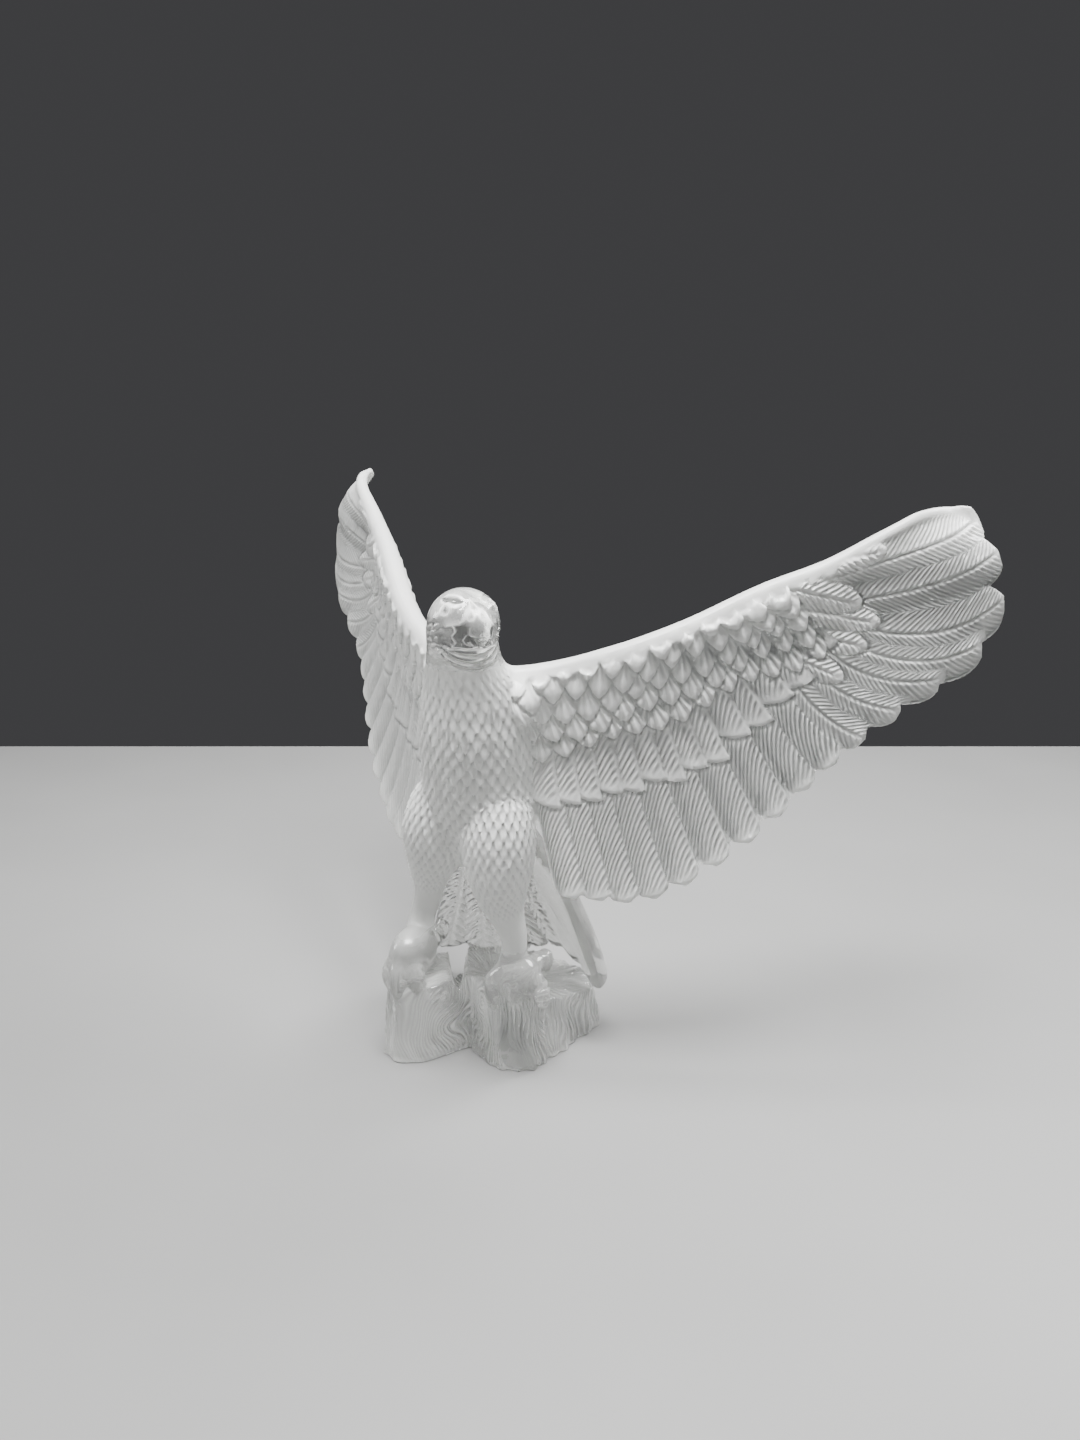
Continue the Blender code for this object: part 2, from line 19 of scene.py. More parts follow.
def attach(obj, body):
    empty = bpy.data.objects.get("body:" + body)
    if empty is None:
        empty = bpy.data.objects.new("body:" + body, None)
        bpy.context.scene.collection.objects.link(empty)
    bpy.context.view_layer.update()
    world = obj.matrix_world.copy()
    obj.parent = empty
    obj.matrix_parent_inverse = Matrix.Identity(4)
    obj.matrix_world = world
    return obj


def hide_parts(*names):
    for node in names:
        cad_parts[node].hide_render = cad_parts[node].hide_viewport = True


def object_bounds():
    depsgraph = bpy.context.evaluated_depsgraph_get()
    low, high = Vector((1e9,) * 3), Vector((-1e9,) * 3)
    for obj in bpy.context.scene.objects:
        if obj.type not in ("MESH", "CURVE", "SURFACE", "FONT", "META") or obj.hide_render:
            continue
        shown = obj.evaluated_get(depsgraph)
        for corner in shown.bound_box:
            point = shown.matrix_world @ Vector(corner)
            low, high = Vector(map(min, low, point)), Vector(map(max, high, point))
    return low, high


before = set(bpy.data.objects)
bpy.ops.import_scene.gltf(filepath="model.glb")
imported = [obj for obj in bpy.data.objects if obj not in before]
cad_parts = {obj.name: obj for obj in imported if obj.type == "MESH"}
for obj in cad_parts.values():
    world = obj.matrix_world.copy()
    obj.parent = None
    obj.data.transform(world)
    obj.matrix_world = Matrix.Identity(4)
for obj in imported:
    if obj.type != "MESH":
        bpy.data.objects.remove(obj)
cad_low, cad_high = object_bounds()
print("CAD box", [round(v, 4) for v in cad_low], [round(v, 4) for v in cad_high])

# %% Measures
EAGLE_HEIGHT = 0.240  # metres, underside of the rock to the highest wing feather
FIGURE_HEIGHT = 218.7  # the same height in figure units
U = EAGLE_HEIGHT / FIGURE_HEIGHT  # one figure unit
ROCK_CENTRE = np.array([1.0, 8.0])  # the frame's origin, in figure units from the body's upright axis
ROCK_HEIGHT = 0.041 / U
CAST_GRAIN = 0.00047  # metres, the finest form that the fused casting keeps
FACES = 194000
CARVING_FAVOUR = 4e-7  # how strongly the faces gather where the carving is finest
print("one figure unit is", round(U * 1000, 3), "mm")

# %% [markdown]
# Outlines such as the wing's leading edge are drawn as smooth curves through a few measured points, as
# a carver would bend a lath through pins. Two helpers do it: one for a path in space, one for a value
# that changes along a length.


# %% Smooth curves
def along(points, t):
    """Catmull-Rom curve through the points, read at shares t of the way, from 0 to 1."""
    p = np.asarray(points, float)
    if p.ndim == 1:
        p = p[:, None]
    ends = np.vstack([2 * p[0] - p[1], p, 2 * p[-1] - p[-2]])
    place = np.clip(np.atleast_1d(t), 0, 1) * (len(p) - 1)
    i = np.minimum(place.astype(int), len(p) - 2)
    f = (place - i)[:, None]
    a, b, c, d = ends[i], ends[i + 1], ends[i + 2], ends[i + 3]
    curve = 2 * b + (c - a) * f + (2 * a - 5 * b + 4 * c - d) * f**2 + (3 * b - a - 3 * c + d) * f**3
    return np.squeeze(curve / 2)


def through(xs, ys, x):
    """Smooth value at x of the curve through the points (xs, ys)."""
    slopes = np.gradient(np.asarray(ys, float), np.asarray(xs, float))
    x = np.clip(x, xs[0], xs[-1])
    i = np.clip(np.searchsorted(xs, x) - 1, 0, len(xs) - 2)
    xs, ys = np.asarray(xs, float), np.asarray(ys, float)
    span = xs[i + 1] - xs[i]
    f = (x - xs[i]) / span
    rise = (1 + 2 * f) * (1 - f) ** 2 * ys[i] + f**2 * (3 - 2 * f) * ys[i + 1]
    return rise + span * (f * (1 - f) ** 2 * slopes[i] + f**2 * (f - 1) * slopes[i + 1])


def eased(share):
    """A share from 0 to 1 that starts and ends slowly."""
    share = np.clip(share, 0, 1)
    return share * share * (3 - 2 * share)


def bump(x, width):
    """A soft hump, 1 at x = 0, that has died away at a few widths."""
    return np.exp(-((x / width) ** 2))


# %% [markdown]
# Every form starts as a plain ball, as a lump of clay does. Its rings are pulled along the form's own
# length, and each point remembers where it sits: which kind of surface it is, how far along, how far
# across, and how long and wide its form is. The carving reads these later.


# %% Balls to pull forms from
PLAIN, WING, BREAST, THIGH, TAIL, ROCK, TOE, HEAD = range(8)
NOTES = ("kind", "across", "along", "half_width", "length")
blanks = {}
forms = []


def blank(around, rings):
    """A ball, made once for each fineness: its mesh, and each point's share along and turn around."""
    if (around, rings) not in blanks:
        bpy.ops.object.select_all(action="DESELECT")
        bpy.ops.mesh.primitive_uv_sphere_add(segments=around, ring_count=rings, radius=1)
        ball = bpy.context.object
        places = np.empty(3 * len(ball.data.vertices), np.float32)
        ball.data.vertices.foreach_get("co", places)
        x, y, z = places.reshape(-1, 3).T.astype(float)
        share = np.arccos(np.clip(-z, -1, 1)) / math.pi
        blanks[around, rings] = (ball, share, np.arctan2(y, x))
    return blanks[around, rings]


def pull(name, ball, points, kind, notes, mirror=False):
    """A copy of the ball with its points moved to figure coordinates and its notes written down."""
    form = bpy.data.objects.new(name, ball.data.copy())
    bpy.context.scene.collection.objects.link(form)
    points = np.asarray(points, float)
    if mirror:
        points = points * (-1, 1, 1)
    places = (points - (*ROCK_CENTRE, 0)) * U
    form.data.vertices.foreach_set("co", places.astype(np.float32).ravel())
    if mirror:
        form.data.flip_normals()
    values = [np.full(len(points), kind), *notes]
    for note, value in zip(NOTES, values):
        layer = form.data.attributes.new(note, "FLOAT", "POINT")
        layer.data.foreach_set("value", np.broadcast_to(value, len(points)).astype(np.float32))
    forms.append(form)
    return form


def end_cap(share, reach=0.07):
    """Shrinks a form's rings to a point at its two ends, over a short reach."""
    inward = np.clip(np.minimum(share, 1 - share) / reach, 0, 1)
    return np.sqrt(1 - (1 - inward) ** 2)


def limb(name, path, radii, kind=PLAIN, around=24, rings=28, flat=1.0, cap=0.07, mirror=False):
    """A round limb along the path, with its radii read evenly along it. flat squeezes it fore and aft."""
    ball, share, turn = blank(around, rings)
    fine = np.linspace(0, 1, 200)
    line = along(path, fine)
    heading = np.gradient(line, axis=0)
    heading /= np.linalg.norm(heading, axis=1)[:, None]
    side = np.cross(heading, (0.0, 1.0, 0.0))
    side[np.linalg.norm(side, axis=1) < 0.2] = (1.0, 0.0, 0.0)
    side /= np.linalg.norm(side, axis=1)[:, None]
    front = np.cross(heading, side)
    step = np.minimum((share * 199).round().astype(int), 199)
    r = np.atleast_1d(along(radii, share)) * end_cap(share, cap)
    points = along(path, share) + (r * np.cos(turn))[:, None] * side[step]
    points += (flat * r * np.sin(turn))[:, None] * front[step]
    length = np.linalg.norm(np.diff(line, axis=0), axis=1).sum()
    notes = (turn, share * length, np.max(radii), length)
    return pull(name, ball, points, kind, notes, mirror)


def lump(name, centre, radii, kind=PLAIN, around=32, rings=24):
    """An upright ellipsoid."""
    ball, share, turn = blank(around, rings)
    flat = np.sin(math.pi * share)
    shape = np.stack([flat * np.cos(turn), flat * np.sin(turn), -np.cos(math.pi * share)], axis=1)
    notes = (turn, share, np.max(radii), 1)
    return pull(name, ball, shape * radii + centre, kind, notes)


# %% [markdown]
# ## A feather
#
# A cast feather is a closed blade: a little crowned on both faces, rounded at its tip, and slightly
# tilted, so that one edge rides over its neighbour like a roof tile. It is drawn flat, in the wing's or
# the tail's own plane, and then placed in space by that plane's function.


# %% One feather blade
def feather(name, kind, base, bend, tip, width, thickness, lift, place, tilt=0.09, mirror=False):
    """A blade along the shaft that base, bend and tip steer."""
    ball, share, turn = blank(20, 26)
    base, bend, tip = (np.asarray(p, float) for p in (base, bend, tip))
    t = share[:, None]
    shaft = (1 - t) ** 2 * base + 2 * t * (1 - t) * bend + t**2 * tip
    heading = 2 * (1 - t) * (bend - base) + 2 * t * (tip - bend)
    heading /= np.linalg.norm(heading, axis=1)[:, None]
    side = np.stack([-heading[:, 1], heading[:, 0]], axis=1)
    length = np.linalg.norm(tip - base)
    round_end = min(0.45, 0.62 * width / length)
    taper = 0.62 + 0.38 * np.clip(share / 0.45, 0, 1)
    closing = np.clip((share - 1 + round_end) / round_end, 0, 1)
    opening = np.sqrt(1 - (1 - np.clip(share / 0.06, 0, 1)) ** 2)
    half = width / 2 * taper * np.sqrt(np.maximum(1 - closing**2.2, 0)) * opening
    across = np.cos(turn)
    depth = np.sign(np.sin(turn)) * np.abs(np.sin(turn)) ** 0.7 * thickness / 2
    thin = np.sqrt(np.maximum(1 - 0.75 * closing**3, 0.05)) * opening
    height = lift[0] + (lift[1] - lift[0]) * share
    flat = shaft + (half * across)[:, None] * side
    rise = height + depth * thin + tilt * half * across
    notes = (half * across, share * length, width / 2, length)
    return pull(name, ball, place(flat[:, 0], flat[:, 1], rise), kind, notes, mirror)


# %% [markdown]
# ## The wings
#
# Each wing is drawn in its own plane: a runs out along the wing, b up, and c out of its front face. The
# plane leans back from the body, and a few smooth bends give the wing its shallow hollow. An arm and a
# web carry the feathers: 17 flight feathers in one fan, the greater coverts over their bases, and rows
# of short shell-shaped coverts up to the smooth band along the arm. The coverts are carved later.

# %% The wing's plane
WING_SWEEP = math.radians(33.6)  # backwards from straight out
WING_LEAN = math.radians(6.5)  # the upper edge lies further back than the lower one
WING_ROOT = (18, 5, 160)  # where the leading edge leaves the body
WING_TWIST = 8.5  # how far the rear of the wing's tip turns forward
WING_CURL = 8  # how far its leading edge curls back there
WING_HOLLOW = 4.5  # depth of the hollow across the wing
LEAD_OUT = (-16, 0, 20, 58, 87, 112, 131, 144, 155, 166)
LEAD_UP = (1.5, 2, 5.8, 18.4, 31.6, 41.0, 51.4, 57.8, 59.9, 57.0)


def lead(a):
    """Height b of the leading edge at the distance a out."""
    return through(LEAD_OUT, LEAD_UP, a)


WING_AXIS = np.array([math.cos(WING_SWEEP), math.sin(WING_SWEEP), 0])
WING_FACE = np.array([math.sin(WING_SWEEP), -math.cos(WING_SWEEP), math.tan(WING_LEAN)])
WING_FACE /= np.linalg.norm(WING_FACE)
WING_UP = np.cross(WING_AXIS, -WING_FACE)


def wing_place(a, b, c):
    """Points of the left wing in space, in figure units, bent to its shallow hollow."""
    chord = np.clip((lead(a) - b) / 100, 0, 1)
    front_bow = through((-16, 0, 45, 80, 112, 145, 178), (0, 0, 3, 1, -0.5, 1.5, -6.5), a)
    rear_bow = through((-16, 20, 60, 100, 178), (0, 0, 1.5, 4, 1.5), a)
    hollow = -WING_HOLLOW * 4 * chord * (1 - chord)
    twist = WING_TWIST * eased((a - 118) / 45) * eased((lead(a) - b) / 24)
    curl = -WING_CURL * eased((a - 132) / 34) * np.exp(-((np.maximum(lead(a) - b, 0) / 9) ** 2))
    c = c + front_bow * (1 - chord) + rear_bow * chord + hollow + twist + curl
    spread = a[..., None] * WING_AXIS + b[..., None] * WING_UP
    return np.asarray(WING_ROOT) + spread + c[..., None] * WING_FACE


# %% Arm and web
WEB_OUT = (-16, 0, 8, 16, 30, 57, 82, 98, 118, 130, 142, 152, 160, 166)
WEB_DEPTH = (48, 50, 74, 90, 97, 100, 94, 88, 75, 73, 67, 48, 18, 5)


def wing_core(mirror):
    """The arm along the leading edge and the web behind it, which the feathers lie on."""
    ball, share, turn = blank(48, 64)
    a = -16 + 182 * share
    reach = through(WEB_OUT, WEB_DEPTH, a)
    back = (1 - np.cos(turn)) / 2
    behind = back * reach
    arm = through((-16, 0, 60, 112, 140, 166), (6.4, 5.6, 5.0, 4.0, 2.8, 1.8), a)
    nose = np.sqrt(np.clip(1 - (1 - np.minimum(behind / (1.1 * arm), 1)) ** 2, 0, 1))
    web = 0.18 * arm + 0.82 * arm * np.exp(-((np.maximum(behind - 5, 0) / 22) ** 2))
    thick = np.minimum(nose * arm, web) * np.sqrt(np.clip(1 - back**5, 0, 1)) * np.sign(np.sin(turn))
    thick *= end_cap(share, 0.02)
    notes = (behind, a, 1, 182)
    points = wing_place(a, lead(a) - behind, thick)
    return pull("arm", ball, points, WING, notes, mirror)


# %% Flight feathers
FLIGHT_FEATHERS = 17
FIRST_PRIMARY = 10
TIP_PLACE = (0, 3, 6, 8, 10, 12, 13, 14, 15, 16)
TIP_OUT = (20, 51, 86, 107.5, 128.5, 153.5, 168.5, 176.5, 174, 170)
TIP_UP = (-90, -89.5, -66.5, -46, -26.5, -2.5, 10.5, 27, 43.5, 55)
FEATHER_THICKNESS = 0.0034 / U


def fan():
    """Base, bend, tip and width of each flight feather, from the body outwards."""
    k = np.arange(FLIGHT_FEATHERS) / (FLIGHT_FEATHERS - 1) * 16
    base_out = through((0, 5, 9, 11, 13, 14, 16), (9, 48, 88, 103, 114, 119, 118), k)
    base_up = through((0, 5, 9, 11, 13, 14, 16), (-30, -12, 2, 8, 14, 17, 36), k)
    tip_out = through(TIP_PLACE, TIP_OUT, k)
    tip_up = through(TIP_PLACE, TIP_UP, k)
    sag = through((0, 9, 10, 12, 13, 14, 15, 16), (2, 3, 5, 7, 8.5, 8, 3, 1), k)
    width = through((0, 9, 12, 14, 16), (15, 15.5, 18, 20.5, 19), k)
    for i in range(FLIGHT_FEATHERS):
        base, tip = np.array([base_out[i], base_up[i]]), np.array([tip_out[i], tip_up[i]])
        heading = (tip - base) / np.linalg.norm(tip - base)
        bend = (base + tip) / 2 + 2 * sag[i] * np.array([heading[1], -heading[0]])
        yield base, bend, tip, width[i]


def flight_feathers(mirror):
    for i, (base, bend, tip, width) in enumerate(fan()):
        name = f"flight_{i + 1}"
        feather(name, WING, base, bend, tip, width, FEATHER_THICKNESS, (0, 0), wing_place, mirror=mirror)


for wing_mirror in (False, True):
    wing_core(wing_mirror)
    flight_feathers(wing_mirror)
print(len(forms), "forms in the two wings")

# %% [markdown]
# ## Body, head and legs
#
# The bird stands upright and turns its head to its left. Breast, back and neck are one column of level
# ovals, the shoulder carries the breast over into the wing, and the thighs are full, narrowing to bare
# shanks and gripping toes.


# %% Trunk and shoulders
def trunk():
    """Breast, back and neck, as level ovals from the vent up to the crown."""
    ball, share, turn = blank(96, 120)
    level = np.array([74, 80, 88, 98, 110, 122, 134, 145, 155, 163, 170, 178, 185, 189.5])
    back = np.array([5, 5, 4, 3, 1, 0, -1, -2, -4, -7, -8, -7.5, -7, -7])
    wide = np.array([6, 13, 19, 21.5, 22, 22, 22, 20.5, 18, 15, 13.4, 13.2, 10.6, 5.5])
    deep = np.array([5, 12, 17, 20.5, 21.3, 21, 20.5, 18.5, 16, 13.8, 13, 13.6, 11.6, 6.5])
    z = level[0] + (level[-1] - level[0]) * share
    cap = end_cap(share, 0.02)
    x = through(level, wide, z) * cap * np.cos(turn)
    y = through(level, back, z) + through(level, deep, z) * cap * np.sin(turn)
    notes = (turn, z, 22, 115)
    pull("trunk", ball, np.stack([x, y, z], axis=1), BREAST, notes)


trunk()
for side in (1, -1):
    shoulder_path = [(8 * side, -1, 140), (15 * side, 2, 147), (23 * side, 8, 154), (36 * side, 17, 161)]
    limb("shoulder", shoulder_path, [9, 9, 6.5, 2.5], WING)

# %% Head
HEAD_CENTRE = np.array([0, -7.0, 177.5])
HEAD_TURN = math.radians(60)
HEAD_DIP = math.radians(3)


def head_place(forward, left, up):
    """A point of the head from its own centre, in figure units."""
    facing = np.array([math.sin(HEAD_TURN), -math.cos(HEAD_TURN), 0.0])
    sideways = np.array([math.cos(HEAD_TURN), math.sin(HEAD_TURN), 0.0])
    dip_forward = facing * math.cos(HEAD_DIP) - np.array([0, 0, math.sin(HEAD_DIP)])
    dip_up = facing * math.sin(HEAD_DIP) + np.array([0, 0, math.cos(HEAD_DIP)])
    return HEAD_CENTRE + forward * dip_forward + left * sideways + up * dip_up


lump("skull", HEAD_CENTRE, (13.3, 13.6, 13.2), HEAD, 64, 48)
beak = [head_place(*p) for p in ((5, 0, 3.4), (11, 0, 3.6), (14.6, 0, 1.8), (16.6, 0, -1.4), (16.4, 0, -5.0))]
limb("beak", beak, [7.0, 6.2, 5.0, 3.4, 1.3], HEAD)
jaw = [head_place(*p) for p in ((6, 0, -4.0), (11.5, 0, -4.6), (14, 0, -5.2))]
limb("jaw", jaw, [6.0, 4.6, 2.4], HEAD)
for side in (1, -1):
    ridge = ((9.6, 4.4 * side, 7.0), (6.4, 7.8 * side, 7.4), (2, 10 * side, 6.4))
    limb("brow", [head_place(*p) for p in ridge], [1.0, 1.7, 1.0], HEAD)

# %% Legs
LEFT_LEG = (
    (12, -3, 112, 11),
    (14.5, -7, 97, 14),
    (15.5, -8.5, 84, 13),
    (16.2, -8, 71.5, 9.4),
    (18.7, -7, 62, 6.6),
    (21.5, -6, 53, 5.4),
)
LEFT_TOES = ((15.5, -13.5, 11), (25, -13.5, 7), (34, -7, 10), (25, 9, 4))
RIGHT_LEG = (
    (-12, -3, 112, 11),
    (-14.5, -8, 97, 13),
    (-15.5, -8.5, 85, 12),
    (-18.5, -8, 74, 8.4),
    (-20.5, -7, 65, 6.2),
    (-22.5, -7, 54, 5.8),
)
RIGHT_TOES = ((-12.5, -27, 8), (-18.5, -32, 10), (-24, -29, 9), (-24, 4, 2))
TOE_RADIUS = 0.0041 / U
LEFT_INSTEP = ((23.5, -7.5, 2), (9.5, 9, 9))
RIGHT_INSTEP = ((-20, -19, 5), (8.5, 12, 10))


def leg(stations, toes, instep):
    """Feathered thigh, bare shank and four toes that grip the rock."""
    stations, toes = np.array(stations, float), np.array(toes, float)
    limb("thigh", stations[:, :3], stations[:, 3], THIGH, around=48, rings=60)
    ankle, shank = stations[-1, :3], stations[-1, 3]
    heel = np.array([0.95 * ankle[0], (ankle[1] + toes[1][1]) / 2 + 1, ROCK_HEIGHT + 3])
    limb("shank", [ankle + (0, 0, 7), (ankle + heel) / 2, heel], [0.9 * shank, 1.0 * shank, 1.3 * shank])
    for tip in toes * (1, 1, -1) + (0, 0, ROCK_HEIGHT):
        knuckle = heel + 0.78 * (tip - heel) * (1, 1, 0) - (0, 0, 1.5)
        path = [heel, knuckle, tip + (0, 0, 6), tip]
        limb("toe", path, [1.2 * TOE_RADIUS, 1.1 * TOE_RADIUS, TOE_RADIUS, 0.5 * TOE_RADIUS], TOE)
    lump("instep", np.add(instep[0], (0, 0, ROCK_HEIGHT)), instep[1])


leg(LEFT_LEG, LEFT_TOES, LEFT_INSTEP)
leg(RIGHT_LEG, RIGHT_TOES, RIGHT_INSTEP)

# %% [markdown]
# ## Tail and rock
#
# The tail is a cupped fan of seven broad feathers behind the legs. The rock is a low block with two
# lobes, one under each foot, with upright flutes and a gully between them.

# %% Tail
TAIL_ROOT = np.array([0, 12, 98])
TAIL_DROP = math.radians(22)
TAIL_LENGTH = 80
TAIL_SPREAD = 39
TAIL_CUP = 23
TAIL_FEATHER_WIDTH = 17
TAIL_SHIFT = 3.5
TAIL_FEATHERS = 7
TAIL_THICKNESS = 0.008 / U
TAIL_SWELL = 0.8  # how much thicker than its middle the tail's left edge is


def tail_place(a, b, c):
    """Points of the tail in space, with its two edges curved forward."""
    down = np.array([0, math.sin(TAIL_DROP), -math.cos(TAIL_DROP)])
    face = np.array([0, -math.cos(TAIL_DROP), -math.sin(TAIL_DROP)])
    edge = TAIL_SPREAD + TAIL_FEATHER_WIDTH / 2
    c = c + TAIL_CUP * (a / edge) ** 2 * np.clip(b / TAIL_LENGTH, 0, 1) ** 0.8
    return TAIL_ROOT + a[..., None] * (1, 0, 0) + b[..., None] * down + c[..., None] * face


limb("rump", [(0, 6, 104), (0, 13, 92), (0, 19, 78)], [13, 12, 8], flat=0.8)
for i in range(TAIL_FEATHERS):
    share = 2 * i / (TAIL_FEATHERS - 1) - 1
    reach = TAIL_LENGTH * through((-1, -0.6, -0.2, 0.1, 1), (1.06, 1.16, 1.11, 1.0, 0.99), share)
    base, tip = (8 * share - TAIL_SHIFT, 0), (TAIL_SPREAD * share, reach)
    bend = (0.6 * tip[0] - TAIL_SHIFT, 0.5 * tip[1])
    thickness = TAIL_THICKNESS * (1 - 0.25 * abs(share) + TAIL_SWELL * max(share, 0) ** 2)
    heights = (0, -1.2 * abs(share) - 2.5 * max(share, 0))
    feather(f"tail_{i + 1}", TAIL, base, bend, tip, TAIL_FEATHER_WIDTH, thickness, heights, tail_place, 0.05)

# %% Rock
ROCK_TURN = (-180, -140, -122, -108, -93, -78, -60, -38, -12, 12, 38, 62, 90, 120, 150, 180)
ROCK_REACH = (34, 42, 49, 42, 20, 21, 27, 34, 33, 35, 44, 46, 42, 45, 40, 34)
ROCK_FLUTES = 34


def rock_top(x, y):
    """Height of the rock: full under the feet, falling to the rear, with a gully between the two feet."""
    left = 1.02 * np.exp(-(((x - 22) / 15) ** 2 + ((y + 4) / 15) ** 2))
    right = 1.16 * np.exp(-(((x + 23) / 15) ** 2 + ((y + 14) / 20) ** 2))
    ledge = 0.30 + 0.58 * np.exp(-np.maximum(y + 9, 0) / 32)
    along_gully = -0.61 * (x + 5) + 0.79 * (y + 10)
    across_gully = 0.79 * (x + 5) + 0.61 * (y + 10)
    bed = 0.62 - 0.0165 * along_gully + 0.03 * across_gully**2
    return ROCK_HEIGHT * np.clip(np.max([ledge, left, right], axis=0), 0.12, np.maximum(bed, 0.13))


def rock():
    """Upright fluted sides round a stepped top, with the underside sunk a little below the ground."""
    ball, share, turn = blank(220, 90)
    flutes = 1 + 0.022 * np.sin(ROCK_FLUTES * turn) + 0.02 * np.sin(0.37 * ROCK_FLUTES * turn + 1.0)
    reach = through(ROCK_TURN, ROCK_REACH, np.degrees(turn)) * flutes
    heading = np.stack([np.cos(turn), np.sin(turn)], axis=1)
    rim = ROCK_CENTRE + heading * reach[:, None]
    under, over = np.clip(share / 0.2, 0, 1), np.clip((1 - share) / 0.4, 0, 1)
    rise = np.clip((share - 0.2) / 0.4, 0, 1)
    draw = np.interp(rise, (0, 0.4, 0.75, 1), (1, 0.985, 0.96, 0.925))
    out = under * draw * over * reach
    xy = ROCK_CENTRE + heading * out[:, None]
    side_top = rock_top(rim[:, 0], rim[:, 1])
    z = np.where(share < 0.2, -4.0, np.where(share < 0.6, -4 + rise * (0.93 * side_top + 4), 0))
    z = np.where(share >= 0.6, rock_top(xy[:, 0], xy[:, 1]), z)
    ring = np.linspace(-math.pi, math.pi, 721)
    edge = through(ROCK_TURN, ROCK_REACH, np.degrees(ring))
    steps = np.hypot(np.diff(edge * np.cos(ring)), np.diff(edge * np.sin(ring)))
    girth = np.interp(turn, ring, np.concatenate([[0], np.cumsum(steps)]))
    pull("rock", ball, np.column_stack([xy, z]), ROCK, (girth, z, 1, 1))


rock()
print(len(forms), "forms in all")

# %% [markdown]
# ## Casting
#
# The forms overlap, and a casting has no inner walls. So they are joined, and a fine voxel remesh keeps
# only their common outside. A light smoothing softens every join as the mould does, and a stronger one
# runs breast, flanks and thighs into each other like flesh.

# %% Join and fuse
for ball, _, _ in blanks.values():
    bpy.data.objects.remove(ball)
bpy.ops.object.select_all(action="DESELECT")
for form in forms:
    form.select_set(True)
bpy.context.view_layer.objects.active = forms[0]
bpy.ops.object.join()
clay = bpy.context.object
clay.name = "clay"
print(len(clay.data.vertices), "points before fusing")

eagle = bpy.data.objects.new("eagle", clay.data.copy())
bpy.context.scene.collection.objects.link(eagle)


def apply(modifier):
    """Applies one modifier of the eagle, with nothing else selected."""
    bpy.ops.object.select_all(action="DESELECT")
    eagle.select_set(True)
    bpy.context.view_layer.objects.active = eagle
    bpy.ops.object.modifier_apply(modifier=modifier.name)


fuse = eagle.modifiers.new("fuse", "REMESH")
fuse.mode = "VOXEL"
fuse.voxel_size = CAST_GRAIN
apply(fuse)
print(len(eagle.data.vertices), "points after fusing")


# %% Read the notes back
def places_of(mesh):
    flat = np.empty(3 * len(mesh.vertices), np.float32)
    mesh.vertices.foreach_get("co", flat)
    return flat.reshape(-1, 3).astype(float)


def clay_tree():
    """The clay's triangles, a search tree over them, and the notes at each of its points."""
    mesh = clay.data
    mesh.calc_loop_triangles()
    corners = np.empty(3 * len(mesh.loop_triangles), np.int32)
    mesh.loop_triangles.foreach_get("vertices", corners)
    corners = corners.reshape(-1, 3)
    points = places_of(mesh)
    notes = np.empty((len(NOTES), len(points)), np.float32)
    for i, note in enumerate(NOTES):
        mesh.attributes[note].data.foreach_get("value", notes[i])
    tree = BVHTree.FromPolygons(points.tolist(), corners.tolist(), all_triangles=True)
    return tree, points, corners, notes


TREE, CLAY_POINTS, CLAY_CORNERS, CLAY_NOTES = clay_tree()


def notes_at(places):
    """The notes of the clay at the points of its surface that lie nearest to the places."""
    face = np.empty(len(places), int)
    near = np.empty((len(places), 3))
    for i, place in enumerate(places):
        spot, _, index, _ = TREE.find_nearest(place)
        face[i] = index
        near[i] = spot
    a, b, c = (CLAY_POINTS[CLAY_CORNERS[face, i]] for i in range(3))
    ab, ac, ap = b - a, c - a, near - a
    d00, d01, d11 = (ab * ab).sum(1), (ab * ac).sum(1), (ac * ac).sum(1)
    d20, d21 = (ap * ab).sum(1), (ap * ac).sum(1)
    scale = np.maximum(d00 * d11 - d01 * d01, 1e-20)
    v, w = (d11 * d20 - d01 * d21) / scale, (d00 * d21 - d01 * d20) / scale
    weights = np.clip(np.stack([1 - v - w, v, w], axis=1), 0, 1)
    weights /= weights.sum(1)[:, None]
    values = CLAY_NOTES[:, CLAY_CORNERS[face]]
    mixed = (values * weights[None]).sum(2)
    mixed[0] = values[0, :, 0]
    turns = np.isin(mixed[0], (BREAST, THIGH, TOE))
    angles = values[1]
    circle = np.arctan2((np.sin(angles) * weights).sum(1), (np.cos(angles) * weights).sum(1))
    mixed[1] = np.where(turns, circle, mixed[1])
    return mixed


places = places_of(eagle.data)
kind, across, down, half_width, length = notes_at(places)
print("notes read at", len(places), "points")


# %% Soften the joins
def flesh(points):
    """Weight 1 on breast, flanks and thighs, where forms run softly into each other, and less on the feet."""
    x, y, z = points.T
    girth = np.hypot(x, y + 3)
    reach = 36 + 14 * eased((z - 130) / 10)
    body = eased((reach - girth) / 10) * eased((z - 46) / 10) * eased((172 - z) / 10)
    feet = 0.3 * eased((z - 18) / 8) * eased((58 - z) / 6) * eased((8 - y) / 8)
    return np.maximum(body, feet)


def weigh(name, weights):
    """A vertex group of the eagle, written in steps of a fiftieth."""
    group = eagle.vertex_groups.new(name=name)
    steps = np.round(np.clip(weights, 0, 1) * 50).astype(int)
    order = np.argsort(steps, kind="stable")
    edges = np.searchsorted(steps[order], np.arange(52))
    for step in range(51):
        members = order[edges[step] : edges[step + 1]]
        if len(members):
            group.add(members.tolist(), step / 50, "REPLACE")


